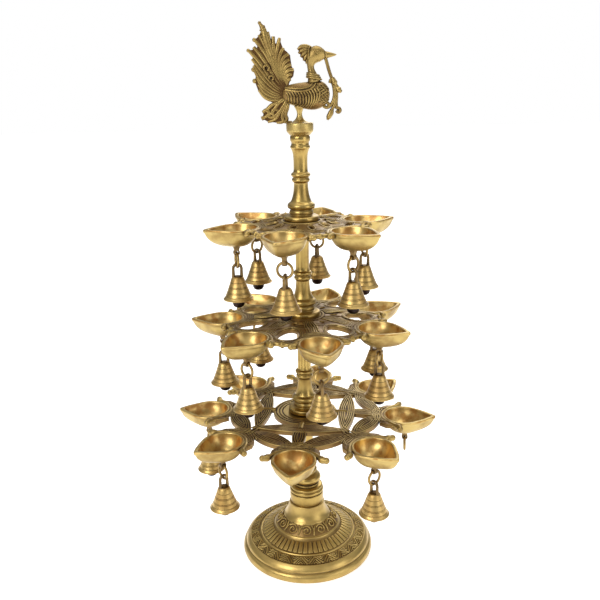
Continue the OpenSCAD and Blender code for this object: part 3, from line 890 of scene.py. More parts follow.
def cast_plate(name, loops, top, thick=PLATE):
    """A plate from closed loops of points in mm: the outline first, then its holes."""
    plate = filled_curve(name, loops, thick, edge=0.5)
    bpy.ops.transform.translate(value=(0, 0, (top - thick / 2) * MM))
    bpy.ops.mesh.quads_convert_to_tris()
    bpy.ops.mesh.subdivide(number_cuts=1)
    bpy.ops.object.mode_set(mode="OBJECT")
    smooth(plate, 30)
    paint(plate, cast_brass, ground_and_shade_brass)
    for face in plate.data.polygons:
        # The flat top takes the dark ground of the openwork, and the side and bottom faces take it as painted
        # shade; the bevelled rim keeps the cast brass.
        if face.normal.z > 0.9 or face.normal.z < 0.3:
            face.material_index = 1
    return plate


def chased_lines(name, lines, thickness=1.3, closed=False):
    """Bright lines that stand on a plate."""
    piece = wires(name, lines, thickness, sides=1, smoothness=3, closed=closed)
    paint(piece, cast_brass)
    return piece


def dished(piece, start, end, drop=3.0):
    """Bends a tray's piece down by drop mm between two radii, towards the cups' rims."""
    for vert in piece.data.vertices:
        share = (math.hypot(vert.co.x, vert.co.y) / MM - start) / (end - start)
        share = min(max(share, 0.0), 1.0)
        vert.co.z -= drop * MM * share * share * (3 - 2 * share)
    return piece


def oval(radius, angle, length, width, points=18, egg=0.0):
    """A closed oval loop with its length along the radius; egg makes its outer end broader."""
    loop = []
    for k in range(points):
        a = math.tau * k / points
        along = length / 2 * math.cos(a)
        across = width / 2 * math.sin(a) * (1 + egg * math.cos(a))
        loop.append(turn(angle) @ Vector((radius + along, across, 0)))
    return loop


def lifted(loop, height):
    """A loop raised to a height."""
    return [Vector((p.x, p.y, height)) for p in loop]


print("plate functions ready")

# %% [markdown]
# Round each cup's back runs a band that ends in a short blunt horn on either side. It is one
# thick wire, bent round the bowl. Behind it, wavy lines flow round the cup in arcs.

# %% Bands and arcs behind a cup


def back_band(reach, lift):
    """A band round a cup's back with a horn at both ends; the origin is the bowl's middle."""
    half = [(-4.5, reach), (-6.5, reach - 4.5), (-9.5, 25.5), (-15, 20.6), (-21, 13.5), (-25, 4.5)]
    line = [(x, y, lift) for x, y in half] + [(x, -y, lift) for x, y in reversed(half)]
    band = wires("band", [line], 6.4, sides=3, smoothness=3,
                 shares=(0.95, 1.25, 0.9, 1.0, 0.8, 0.7, 0.7, 0.8, 1.0, 0.9, 1.25, 0.95))
    knobs = [band]
    for side in (-1, 1):
        clear()
        bpy.ops.mesh.primitive_uv_sphere_add(segments=14, ring_count=9, radius=3.4 * MM,
                                             location=Vector((-4.8, side * (reach + 0.4), lift)) * MM)
        knob = bpy.context.object
        bpy.ops.object.transform_apply()
        smooth(knob, 180)
        knobs.append(knob)
    band = joined("band", knobs)
    paint(band, cast_brass)
    return band


def back_arcs(middle, angle, radii, half_angle, height, phase=0.0):
    """Wavy arcs round a cup's back, about the bowl's middle at a radius and angle."""
    lines = []
    for k, radius in enumerate(radii):
        line = []
        for step in range(9):
            share = step / 4 - 1
            a = math.pi + share * half_angle * (1 - 0.1 * k)
            r = radius + 0.6 * math.sin(share * 9 + phase + k)
            line.append(turn(angle) @ Vector((middle + r * math.cos(a), r * math.sin(a), height)))
        lines.append(line)
    return lines


def stem_lines(inner, outer, angle, offsets, height, phase=0.0, flare=0.6):
    """Wavy lines that run outwards along an arm, from one radius to another."""
    lines = []
    for k, offset in enumerate(offsets):
        line = []
        for step in range(7):
            share = step / 6
            side = offset * (1 + flare * share ** 2) + 0.6 * math.sin(share * 8 + phase + k * 0.8)
            line.append(turn(angle) @ Vector((inner + (outer - inner) * share, side, height)))
        lines.append(line)
    return lines


def cups_on(tier, lugs, horn):
    """The cups of a tier with their lugs and bands, as a list of copies."""
    info = tiers[tier]
    rim = info["top"] - 2.5
    middle = info["reach"] - TIP
    parts = []
    band = back_band(horn, -2.4)
    for k in range(info["cups"]):
        outwards = turn(info["first"] + k * info["step"])
        parts.append(copy_of(cup_pattern, outwards @ at(middle, 0, rim)))
        parts.append(copy_of(band, outwards @ at(middle, 0, rim)))
        if k in lugs:
            parts.append(copy_of(lug_pattern, outwards @ at(info["lug"], 0, rim - LUG_DROP)))
    bpy.data.objects.remove(band)
    return parts


def hub(radius, top, rings, thick=PLATE):
    """A round plate with raised rings."""
    profile = [(0, -thick), (radius - 0.4, -thick), (radius, -thick + 0.4), (radius, -0.6), (radius - 0.6, 0)]
    place = radius - 2.4
    for _ in range(rings):
        profile += [(place, 0), (place - 0.3, -0.8), (place - 1.3, -0.8), (place - 1.6, 0)]
        place -= 3.6
    plate = turned("hub", shifted(profile + [(0, 0)], top), rounding=0, angle=30)
    paint(plate, cast_brass, hollow_patina_and_shade, ground_and_shade_brass)
    for face in plate.data.polygons:
        # Side and bottom faces take the dark ground brass as painted shade.
        if face.normal.z < 0.3:
            face.material_index = 2
        # The sunk rings take the near-black hollow brass: patina and painted shade.
        elif (top - 2) * MM < face.center.z < (top - 0.3) * MM:
            face.material_index = 1
    return plate


print("cup functions ready")

# %% [markdown]
# ## Lower tray
# Eight cups. A disc round the stem, four long leaves in a square round it, and smaller leaves
# that run from corner to corner. A fan-shaped root joins each cup to its corner.

# %% Lower tray
lower_lugs = {int(name.rsplit("_", 1)[1]) - 1 for name in joints if name.startswith("lower_ring")}
info = tiers["lower"]
top, first, step = info["top"], info["first"], info["step"]
back, middle = info["reach"] - CUP_LENGTH, info["reach"] - TIP
ODD, EVEN, SQUARE = back - 14, back - 5, 48.0
pieces = [hub(36.5, top - 0.8, 3)]
flow = []
for k in range(8):
    angle = first + k * step
    odd = k % 2 == 1
    node = ODD if odd else EVEN
    following = EVEN if odd else ODD
    depth = middle - node
    half = ((-9.6, 21.5), (-13, 25.5), (-20, 25), (-27, 19.5), (-depth + 4, 10), (-depth - 3, 0))
    root = [(middle + x, y, 0) for x, y in half] + [(middle + x, -y, 0) for x, y in reversed(half[:-1])]
    bite = [(middle + 22.6 * math.cos(a), 22.6 * math.sin(a), 0)
            for a in (math.radians(d) for d in range(240, 119, -12))]
    outline = [turn(angle) @ Vector(p) for p in root + bite]
    pieces.append(cast_plate("root", [outline], top))
    flow += back_arcs(middle, angle, (28.2, 30.6, 33, 35.4), 0.75, top, k)
    pieces.append(placed_leaf((node + 2, angle), (following + 2, angle + step), 18, top + 0.3, 3))
    if not odd:
        pieces.append(placed_leaf((SQUARE - 4, angle), (EVEN + 2, angle), 15, top + 0.3, 2))
        corner = ODD * math.sin(step)
        side_a = math.atan2(-corner, SQUARE)
        far = math.hypot(SQUARE, corner)
        pieces.append(placed_leaf((far, angle + side_a), (far, angle - side_a), 19, top + 0.5, 3))
        tie = [turn(angle) @ Vector((SQUARE + x, 0, top - 2)) for x in (-14, -8, 0)]
        pieces.append(wires("tie", [tie], 7.0, sides=2, smoothness=2))
        paint(pieces[-1], cast_brass)
    else:
        flow += stem_lines(node - 12, node + 8, angle, (-3.4, 0, 3.4), top + 0.4, k)
pieces.append(chased_lines("flow_lines", flow, 1.4))
openwork = dished(joined("openwork", pieces), 62, back - 2)
lower_tray = joined("lower_tray_casting", cups_on("lower", lower_lugs, 32.5) + [openwork])
bring(lower_tray, "stand", "tray_brass", "lower_tray")
print("lower tray", len(lower_tray.data.polygons), "faces")

# %% [markdown]
# ## Middle and upper trays
# Their plates have the same outline: it follows each cup's back as a round bite and goes
# straight across to the next cup. The middle plate has seven egg-shaped openings, and the
# upper plate only small slots. A bar with a knob stands on the edge between two cups.

# %% Outline and edge of the close trays


def bitten_outline(info):
    """The outline of a plate that stops at the back of each of its cups."""
    outline = []
    for k in range(info["cups"]):
        around = turn(info["first"] + k * info["step"])
        for degrees in range(-112, -249, -8):
            a = math.radians(degrees)
            place = (info["reach"] - TIP + 22.6 * math.cos(a), 22.6 * math.sin(a), 0)
            outline.append(around @ Vector(place))
    return outline


BAR_WIRE = 6.2
BAR_PLACES = (0, 0.22, 0.38, 0.5, 0.62, 0.78, 1)


def edge_bars(info, height, knob=1.3):
    """Bars with a knob in their middle, from each cup to the next."""
    middle = info["reach"] - TIP
    lines = []
    for k in range(info["cups"]):
        a = turn(info["first"] + k * info["step"]) @ Vector((middle - 8, 24.5, 0))
        b = turn(info["first"] + (k + 1) * info["step"]) @ Vector((middle - 8, -24.5, 0))
        lines.append([a.lerp(b, share) + Vector((0, 0, height)) for share in BAR_PLACES])
    bars = wires("edge_bars", lines, BAR_WIRE, sides=3, smoothness=3,
                 shares=(1.1, 0.7, 0.75, knob, 0.75, 0.7, 1.1))
    paint(bars, cast_brass)
    return bars


print("edge functions ready")

# %% Middle tray
info = tiers["middle"]
top, first, step = info["top"], info["first"], info["step"]
back, middle = info["reach"] - CUP_LENGTH, info["reach"] - TIP
holes, ringed, flow = [], [], []
for k in range(7):
    angle = first + k * step
    between = angle + step / 2
    holes.append(oval(back - 5, between, 31, 24, egg=0.14))
    holes.append(oval(back - 33, between, 9, 6))
    for wider in (2.8, 5.6):
        ringed.append(lifted(oval(back - 5, between, 31 + wider, 24 + wider, egg=0.14), top))
    flow += back_arcs(middle, angle, (28.6, 31, 33.4), 0.62, top, k * 1.7)
    flow += stem_lines(25, back - 11, angle, (-5.6, -3.4, -1.1, 1.1, 3.4, 5.6), top, k * 1.3, 0.2)
pieces = [cast_plate("plate", [bitten_outline(info)] + holes, top), hub(24, top + 0.6, 1, 2),
          chased_lines("flow_lines", flow, 1.4), chased_lines("hole_lines", ringed, 1.3, True)]
openwork = dished(joined("openwork", pieces), 34, back - 2)
parts = cups_on("middle", range(7), 29) + [openwork, edge_bars(info, top - 5.2)]
middle_tray = joined("middle_tray_casting", parts)
bring(middle_tray, "stand", "tray_brass", "middle_tray")
print("middle tray", len(middle_tray.data.polygons), "faces")

# %% Upper tray
info = tiers["upper"]
top, first, step = info["top"], info["first"], info["step"]
back, middle = info["reach"] - CUP_LENGTH, info["reach"] - TIP
holes, ringed, flow = [], [], []
for k in range(6):
    angle = first + k * step
    between = angle + step / 2
    holes.append(oval(back - 13.5, angle, 13, 6))
    holes.append(oval(back + 4, between, 9, 21))
    holes.append(oval(back - 12, between, 12, 5))
    ringed.append(lifted(oval(back - 13.5, angle, 16, 9), top))
    ringed.append(lifted(oval(back + 4, between, 12, 24), top))
    ringed.append(lifted(oval(back - 12, between, 15, 8), top))
    flow += back_arcs(middle, angle, (26, 28.4, 30.8), 0.7, top, k * 2.1)
pieces = [cast_plate("plate", [bitten_outline(info)] + holes, top), hub(22.5, top + 0.5, 1, 2),
          chased_lines("flow_lines", flow, 1.3), chased_lines("hole_lines", ringed, 1.3, True)]
openwork = dished(joined("openwork", pieces), 25, back - 1)
parts = cups_on("upper", range(6), 28) + [openwork, edge_bars(info, top - 5.2, 1.15)]
upper_tray = joined("upper_tray_casting", parts)
bring(upper_tray, "stand", "tray_brass", "upper_tray")
for pattern in [cup_pattern, lug_pattern, *leaf_patterns.values()]:
    bpy.data.objects.remove(pattern)
print("upper tray", len(upper_tray.data.polygons), "faces")


# %% [markdown]
# ## Rings, bells and clappers
# Each ring passes through its lug's hole and carries a bell by the loop on its crown. A bell is
# turned, with pairs of fine grooves, and inside it a clapper swings on a small staple. One of
# each is modelled at the origin. Every copy has its own mesh, because every one swings alone.

# %% One ring
RING, RING_WIRE = 15.7, 2.8


def hanging_ring():
    """A ring in the YZ plane with its top, the middle of its wire, at the origin."""
    clear()
    bpy.ops.mesh.primitive_torus_add(major_segments=36, minor_segments=10, major_radius=RING / 2 * MM,
                                     minor_radius=RING_WIRE / 2 * MM, rotation=(0, math.pi / 2, 0))
    ring = bpy.context.object
    bpy.ops.object.transform_apply(location=False, rotation=True, scale=False)
    ring.data.transform(at(0, 0, -RING / 2))
    smooth(ring, 180)
    paint(ring, ring_brass)
    return ring


ring_pattern = hanging_ring()
print("ring", len(ring_pattern.data.polygons), "faces")

# %% One bell
BELL, BELL_HEIGHT, BELL_WALL = 32.6, 25.5, 2.0
LOOP_WIDTH, LOOP_WIRE, LOOP_DROP = 8.8, 3.2, 9.5
GROOVES = (3.6, 7.2, 8.3, 12.8, 13.9, 18.6)


def bell_side(height):
    """Outside radius of a bell at a height above its lip: a cone with a small flare."""
    flare = 1.1 * math.exp(-height / 2.0)
    waist = 0.3 * math.sin(math.pi * height / BELL_HEIGHT)
    return 15.2 - 8.5 * height / (BELL_HEIGHT - 2) - waist + flare


def bell_profile():
    """The outside with its fine grooves, the crown, then the inside back to the lip."""
    outside = [(BELL / 2, 0), (BELL / 2, 0.5), (bell_side(1.4), 1.4), (bell_side(2.2), 2.2)]
    for groove in GROOVES:
        for rise, depth in ((-0.3, 0), (-0.12, 0.3), (0.12, 0.3), (0.3, 0)):
            outside.append((bell_side(groove + rise) - depth, groove + rise))
    crown = [(bell_side(21), 21), (7.0, 22.4), (6.3, 23.6), (5.3, 24.6), (3.9, 25.3),
             (2.2, BELL_HEIGHT), (0, BELL_HEIGHT)]
    inside = [(0, BELL_HEIGHT - BELL_WALL), (5.2, BELL_HEIGHT - 2.6), (6.6, BELL_HEIGHT - 5), (7.8, 16),
              (9.4, 10.5), (11, 5.5), (12.6, 2.4), (14.2, 0.4), (15, 0), (BELL / 2, 0)]
    return outside + crown + inside


def is_dark_or_shaded(face):
    """Whether a face of a bell is in a groove, on top of the crown, or inside, where its dark finish is
    painted shade.
    """
    radius = math.hypot(face.center.x, face.center.y) / MM
    height = face.center.z / MM
    grooved = any(abs(height - groove) < 0.2 for groove in GROOVES)
    # The inside of the bell gets the dark finish: painted shade.
    inside = radius < bell_side(height) - 0.8 and height < 24 and face.normal.z < 0.2
    return grooved or inside or height > 24.9


def brass_bell():
    """A bell with its lip at zero height, its loop on top and a staple inside."""
    shell = turned("shell", bell_profile(), steps=48, rounding=0, angle=40)
    paint(shell, bell_brass, dark_brass_and_bell_shade)
    for face in shell.data.polygons:
        if is_dark_or_shaded(face):
            face.material_index = 1
    half = LOOP_WIDTH / 2
    arch = BELL_HEIGHT + LOOP_DROP + 1.5 + LOOP_WIRE / 2 - half
    line = [(-half, 0, BELL_HEIGHT - 1.5), (-half, 0, arch - 3), (-half, 0, arch)]
    over = (math.pi / 4, math.pi / 2, math.pi * 0.75)
    line += [(-half * math.cos(a), 0, arch + half * math.sin(a)) for a in over]
    line += [(half, 0, arch), (half, 0, arch - 3), (half, 0, BELL_HEIGHT - 1.5)]
    loop = wires("loop", [line], LOOP_WIRE, sides=3, smoothness=3, shares=(1.25, 1, 1, 1, 1, 1, 1, 1, 1.25))
    pivot = BELL_HEIGHT - BELL_WALL - 3.1
    staple_line = [(-1.9, 0, BELL_HEIGHT - 2.4), (-1.9, 0, pivot), (0, 0, pivot - 1.9), (1.9, 0, pivot),
                   (1.9, 0, BELL_HEIGHT - 2.4)]
    staple = wires("staple", [staple_line], 1.1, sides=2, smoothness=3)
    for part in (loop, staple):
        paint(part, dark_brass_and_bell_shade)
    return joined("bell", [shell, loop, staple])


bell_pattern = brass_bell()
print("bell", len(bell_pattern.data.polygons), "faces")

# %% One clapper


def iron_clapper():
    """An eye, a rod and a blunt weight that shows below the lip; zero height is the lip."""
    pivot = BELL_HEIGHT - BELL_WALL - 3.1
    weight = turned("weight", [
        (0, pivot - 4.2), (0.9, pivot - 4.4), (1.0, 6), (1.3, 4.4), (3.4, 3.6), (5.4, 1.8), (6.5, -0.8),
        (6.8, -3.4), (6.6, -6), (5.6, -8.2), (3.6, -9.5), (1.6, -9.9), (0, -10),
    ], steps=20)
    clear()
    bpy.ops.mesh.primitive_torus_add(major_segments=20, minor_segments=8, major_radius=2.3 * MM,
                                     minor_radius=0.6 * MM, rotation=(0, math.pi / 2, 0),
                                     location=(0, 0, (pivot - 2.3) * MM))
    eye = bpy.context.object
    bpy.ops.object.transform_apply()
    smooth(eye, 180)
    clapper = joined("clapper", [weight, eye])
    paint(clapper, clapper_iron)
    return clapper


clapper_pattern = iron_clapper()
print("clapper", len(clapper_pattern.data.polygons), "faces")

# %% [markdown]
# A joint's own pivot says where a ring hangs, and a bell's lowest corner says where its lip is,
# so every copy is placed from the frame.

# %% Hang the bells
hung = 0
for name, joint in joints.items():
    tier, kind, _, number = name.split("_")
    if kind != "ring":
        continue
    pivot = Vector(joint["pos_m"])
    facing = turn(math.atan2(pivot.y, pivot.x))
    spot = Matrix.Translation(pivot) @ facing
    body = f"{tier}_ring_{number}"
    bring(copy_of(ring_pattern, spot, body + "_wire"), body, "ring_brass", body)
    bell_name = f"{tier}_bell_{number}"
    if bell_name not in frame["nodes"]:
        continue
    lip = Matrix.Translation((pivot.x, pivot.y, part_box(bell_name)[0].z)) @ facing
    bring(copy_of(bell_pattern, lip, bell_name + "_turning"), bell_name, "bell_brass", bell_name)
    clapper_name = f"{tier}_clapper_{number}"
    bring(copy_of(clapper_pattern, lip, clapper_name + "_iron"), clapper_name, "clapper_iron", clapper_name)
    hung += 1
for pattern in (ring_pattern, bell_pattern, clapper_pattern):
    bpy.data.objects.remove(pattern)
print("bells hung:", hung)

# %% [markdown]
# ## The peacock
# The bird is one casting that stands on a drum. Its body is round, its tail is a flat fan with
# deep feathers on both sides, and it holds a twig in its beak. X runs forwards, and heights are taken from
# the top of the drum, so the bird moves with the frame's own finial.

# %% Drum and leg
drum_foot = height_of("upper_stem")
perch = drum_foot + 13.0
drum = turned("drum", [
    (0, drum_foot), (10.2, drum_foot), (10.6, drum_foot + 0.6), (13.4, drum_foot + 3.6),
    (14, drum_foot + 4.4), (14.1, drum_foot + 6), (14.1, drum_foot + 11.8), (13.9, drum_foot + 12.7),
    (13.2, perch), (10.5, perch), (8.6, perch + 0.6), (6.0, perch + 1.9), (4.0, perch + 4),
    (2.8, perch + 6.6), (2.5, perch + 9), (3.0, perch + 11.6), (4.4, perch + 14.4),
    (6.4, perch + 17), (0, perch + 18.5),
], angle=60)
paint(drum, cup_outside)
print("perch at", round(perch, 1), "mm")

# %% [markdown]
# Body, neck, head and beak are drawn out like clay: a circle is extruded from station to
# station, and each new ring is moved and scaled to the bird's section there.

# %% Body, neck and head


def drawn_out(name, stations, points=24, rounding=1):
    """Extrudes a circle through stations (x, z, half height, half thickness, lean) in mm."""
    clear()
    x, z, high, thick, lean = stations[0]
    bpy.ops.mesh.primitive_circle_add(vertices=points, radius=MM, fill_type="NGON",
                                      rotation=(0, math.pi / 2, 0))
    piece = bpy.context.object
    bpy.ops.object.transform_apply(location=False, rotation=True, scale=False)
    bpy.ops.object.mode_set(mode="EDIT")
    bpy.ops.mesh.select_all(action="SELECT")
    bpy.ops.transform.resize(value=(1, thick, high), center_override=(0, 0, 0))
    bpy.ops.transform.rotate(value=math.radians(lean), orient_axis="Y", center_override=(0, 0, 0))
    bpy.ops.transform.translate(value=Vector((x, 0, z)) * MM)
    for before, after in zip(stations, stations[1:]):
        step = Vector((after[0] - before[0], 0, after[1] - before[1])) * MM
        centre = Vector((after[0], 0, after[1])) * MM
        bpy.ops.mesh.extrude_region_move(TRANSFORM_OT_translate={"value": step})
        bpy.ops.transform.rotate(value=-math.radians(before[4]), orient_axis="Y", center_override=centre)
        bpy.ops.transform.resize(value=(1, after[3] / before[3], after[2] / before[2]),
                                 center_override=centre)
        bpy.ops.transform.rotate(value=math.radians(after[4]), orient_axis="Y", center_override=centre)
    bpy.ops.mesh.select_all(action="SELECT")
    bpy.ops.mesh.normals_make_consistent(inside=False)
    bpy.ops.object.mode_set(mode="OBJECT")
    modify(piece, "SUBSURF", levels=rounding, render_levels=rounding)
    smooth(piece, 60)
    piece.name = name
    paint(piece, bird_brass)
    return piece


# Stations of the body: x, middle height, half height, half thickness
BODY = [
    (-17, 28.5, 2.0, 2.0), (-16, 28.4, 5.0, 3.2), (-12, 28.2, 9.2, 5.4), (-6, 27.8, 11.0, 7.2),
    (0, 27.2, 12.4, 8.6), (6.5, 26.6, 13.6, 9.6), (12.5, 26.5, 14.4, 10), (19, 27.2, 14.6, 9.8),
    (24.5, 27.8, 12.8, 8.4), (28.6, 27.8, 9.4, 6.0), (30.6, 27.6, 5.4, 3.4), (31.3, 27.6, 2.0, 1.4),
]
body = drawn_out("body", [(x, z + perch, h, t, 0) for x, z, h, t in BODY])
paint(body, bird_brass, ground_and_shade_brass)
for face in body.data.polygons:
    if abs(face.center.y) > 3 * MM:
        face.material_index = 1
# Stations of the neck and head: x, height, half width in the flat of the bird, half thickness, lean
NECK = [
    (15.6, 38.0, 7.6, 7.4, -80), (15.2, 43.0, 6.4, 6.4, -80), (14.2, 46.4, 4.9, 4.8, -74),
    (12.8, 50.4, 3.7, 3.8, -72), (11.8, 55.0, 3.3, 3.5, -84), (12.4, 58.6, 4.6, 4.4, -98),
    (13.8, 61.8, 7.2, 5.6, -112), (15.6, 65.2, 8.6, 6.6, -134), (18.4, 67.4, 8.9, 6.9, -160),
    (21.8, 67.3, 7.6, 5.9, -177), (25.2, 66.4, 5.2, 4.5, -184), (27.4, 65.9, 3.6, 3.3, -186),
]
neck = drawn_out("neck", [(x, z + perch, h, t, lean) for x, z, h, t, lean in NECK], points=20)
beak = drawn_out("beak", [(x, z + perch, h, t, 0) for x, z, h, t in (
    (26.6, 65.9, 3.0, 2.6), (27.0, 65.9, 3.9, 3.5), (28.2, 65.9, 3.9, 3.5), (28.6, 65.9, 3.2, 2.9),
    (29.2, 65.9, 3.4, 3.1), (30, 65.9, 3.1, 2.8), (34, 65.9, 2.0, 1.8), (37.6, 65.9, 0.8, 0.8),
    (38.3, 65.9, 0.4, 0.4))], points=16)
print("body", len(body.data.polygons), "neck", len(neck.data.polygons))

# %% [markdown]
# The body's chasing is raised wire laid on its side: long lines along the back, curved barbs
# down the wing, and small scales on the breast. A function says how far the side stands out
# at a place, so each line is drawn flat and then pressed onto both sides.

# %% Chasing on the body


def section(x):
    """Middle height, half height and half thickness of the body at a place along it."""
    x = min(max(x, BODY[0][0]), BODY[-1][0])
    for (x0, *before), (x1, *after) in zip(BODY, BODY[1:]):
        if x <= x1:
            return [a + (b - a) * (x - x0) / (x1 - x0) for a, b in zip(before, after)]


def side_of_body(x, z):
    """Half thickness of the body at a place in its flat, with z from the perch."""
    middle, high, thick = section(x)
    off = min(1.0, abs(z - middle) / high)
    return thick * math.sqrt(1 - off ** 2)


def ball(place, radius, segments, rings):
    """A smooth ball at a place in mm."""
    clear()
    bpy.ops.mesh.primitive_uv_sphere_add(segments=segments, ring_count=rings, radius=radius * MM,
                                         location=Vector(place) * MM)
    piece = bpy.context.object
    bpy.ops.object.transform_apply()
    smooth(piece, 180)
    return piece


def on_both_sides(lines, lift=0.0):
    """Lines in the bird's flat, (x, z from the perch), pressed onto both sides of the body."""
    return [[(x, side * (side_of_body(x, z) + lift), z + perch) for x, z in line]
            for line in lines for side in (-1, 1)]


back_lines = [
    [(-14, 35.0), (-8, 34.0), (-1, 33.4), (6, 34.0), (11.5, 36.4), (14.5, 40.0)],
    [(-14, 32.6), (-8, 31.6), (0, 30.8), (8, 31.6), (14, 34.4), (17, 38.6)],
]
wing_lines = []
for k in range(12):
    share = k / 11
    start = Vector((-13.4 + 31.4 * share, 30.6 + 3.6 * share ** 2))
    size = 0.55 + 0.45 * math.sin(math.pi * min(1.0, share * 0.72 + 0.12))
    way = ((0, 0), (2.3, -3.6), (3.2, -8.0), (2.2, -13.6), (-1.2, -19.6))
    line = [(start.x + x * size, start.y + z * size) for x, z in way]
    wing_lines.append([(x, max(z, section(x)[0] - 0.86 * section(x)[1])) for x, z in line])
chasing = wires("chasing", on_both_sides(back_lines), 2.2, sides=1, smoothness=3)
barbs = wires("barbs", on_both_sides(wing_lines), 2.3, sides=1, smoothness=3, shares=(0.7, 1, 1, 0.9, 0.5))
scales = []
for row in range(6):
    for k in range(5):
        x = 19.2 + row * 2.0
        z = 36.5 - k * 3.4 - (row % 2) * 1.7 - row * 0.4
        if side_of_body(x, z) > 3.0:
            scales.append([(x - 1.2, z + 1.3), (x + 0.6, z + 0.8), (x + 0.6, z - 0.8), (x - 1.2, z - 1.3)])
scale_wires = wires("scales", on_both_sides(scales, 0.1), 1.2, sides=1, smoothness=2)
collar_rings = []
for z, radius in ((43.6, 7.3), (45.6, 6.6), (47.4, 5.9)):
    ring = []
    for k in range(14):
        a = math.tau * k / 14
        ring.append((15.4 - (z - 43.6) * 0.25 + radius * math.cos(a), radius * math.sin(a) * 0.96,
                     z + perch - 2.2 * math.cos(a) * 0.6))
    collar_rings.append(ring)
collar = wires("collar", collar_rings, 2.3, sides=2, smoothness=3, closed=True)
eyes = []
for side in (-1, 1):
    eyes.append([(15.4, side * 5.9, perch + 67.4), (18.2, side * 6.25, perch + 69.4),
                 (21.6, side * 5.3, perch + 68.4),
                 (20.4, side * 5.6, perch + 66.2), (17.6, side * 6.1, perch + 65.8)])
eye_rims = wires("eye_rims", eyes, 0.9, sides=1, smoothness=3, closed=True)
pupils = []
for side in (-1, 1):
    pupils.append(ball((18.8, side * 5.4, perch + 67.5), 1.5, 12, 8))
head_bands = []
for side in (-1, 1):
    head_bands.append([(11.6, side * 2.0, perch + 74.4), (10.2, side * 4.8, perch + 70.5),
                       (10.0, side * 5.2, perch + 66.5), (9.8, side * 4.2, perch + 62.5)])
bands = wires("head_bands", head_bands, 1.2, sides=1, smoothness=3)
bird_parts = [chasing, barbs, scale_wires, collar, eye_rims, bands, *pupils]
for part in bird_parts:
    paint(part, bird_brass)
print("wing lines:", len(wing_lines), "scales:", len(scales))

# %% [markdown]
# The tail is a thin dark plate cut to the fan's outline, with the feathers laid on it as tapered
# ridges. A few guide feathers are listed, and the ones between are blended from their
# neighbours. Every second feather starts further out, so they don't crowd at the root.

# %% Tail fan
# Guide feathers: a place in the fan's order, then five points from the root to the tip
GUIDES = (
    (0, (-12, 25.4), (-19, 23.4), (-27, 22.8), (-34.4, 26.0), (-41.0, 33.6)),
    (3, (-12, 27.5), (-21, 28.6), (-31, 33.8), (-38.6, 41.6), (-44.6, 52.4)),
    (6, (-12, 29.5), (-21.5, 35.6), (-31, 47.2), (-39.4, 59.6), (-49.4, 71.2)),
    (8, (-12.5, 31), (-20.5, 43), (-28, 57.6), (-35.5, 71.4), (-43.0, 81.0)),
    (10, (-12.5, 32), (-20, 46), (-26.4, 62), (-31.2, 79), (-37.0, 95)),
    (13, (-12.5, 33), (-18.6, 46), (-22.4, 58), (-22.0, 70), (-19.0, 81.4)),
    (15, (-12, 33.5), (-16.8, 44.5), (-18.0, 54.8), (-15.2, 64.0), (-10.0, 67.4)),
    (18, (-11.6, 33.6), (-14.0, 41.0), (-13.8, 47.6), (-10.4, 51.8), (-5.0, 52.0)),
    (20, (-11.5, 33.4), (-12.4, 37.2), (-11.8, 40.6), (-10.2, 42.8), (-8.4, 43.6)),
)
FAN_EDGE = [
    (-11.8, 33), (-10.2, 38), (-8.6, 43), (-5.6, 45.8), (-4.6, 51.4), (-6.8, 55), (-7.8, 60.6),
    (-8.4, 66.2), (-11.6, 69.6), (-15.2, 72.4), (-18.8, 82.0), (-22.4, 77.6), (-26.9, 79), (-30.6, 85),
    (-32.8, 94), (-37.8, 97.6), (-36.8, 90), (-39.2, 85), (-43.4, 81.6),
    (-40.2, 77.6), (-42.0, 73), (-49.0, 71.6),
    (-46.2, 66.4), (-44.4, 58.2), (-46.0, 53), (-43.2, 48), (-45.0, 41.8), (-42, 33.4), (-37, 26.6),
    (-30.7, 22.0), (-24.4, 19.2), (-17, 21.4), (-12, 24),
]


def flat_line(points, y=0.0):
    """Points in the bird's flat, at a distance y to one side."""
    return [(x, y, z + perch) for x, z in points]


feather_lines = []
for (low, *before), (high, *after) in zip(GUIDES, GUIDES[1:]):
    for place in range(low, high + (high == GUIDES[-1][0])):
        share = (place - low) / (high - low)
        line = [Vector(p).lerp(Vector(q), share) for p, q in zip(before, after)]
        line[-1] = line[-1].lerp(line[-2], 0.14 * math.sin(math.pi * share))
        if place % 2:
            line = [line[0].lerp(line[1], 0.6), *line[1:]]
        feather_lines.append(flat_line(line))
feathers = wires("feathers", feather_lines, 5.1, sides=2, smoothness=5, shares=(0.42, 0.52, 0.72, 0.95, 0.7))


def web(name, outline, thick):
    """A thin closed plate in the bird's flat."""
    plate = filled_curve(name, [outline], thick)
    bpy.ops.mesh.normals_make_consistent(inside=False)
    bpy.ops.object.mode_set(mode="OBJECT")
    plate.data.transform(at(0, 0, perch) @ turn(math.pi / 2, "X"))
    return plate


tail_web = web("tail_web", FAN_EDGE, 2.4)
# The twisted feather at the top, with slanting lines across it
TOP = [(-27.0, 66), (-30.4, 76), (-33.2, 85), (-34.8, 91), (-37.8, 96.6)]
top_feather = wires("top_feather", [flat_line(TOP)], 7.6, sides=3, smoothness=6,
                    shares=(0.7, 1.0, 1.0, 0.8, 0.4))
twist = []
for k in range(8):
    share = k / 7
    x, z = -29.8 - 5.4 * share - 0.6 * share ** 2, 74 + 18.6 * share
    wide = 3.6 - 1.3 * share
    for side in (-1, 1):
        twist.append([(x - wide, side * 1.2, z + perch - 2.6), (x, side * (3.5 - 0.8 * share), z + perch),
                      (x + wide, side * 1.2, z + perch + 2.2)])
twist_lines = wires("twist", twist, 1.3, sides=1, smoothness=3)
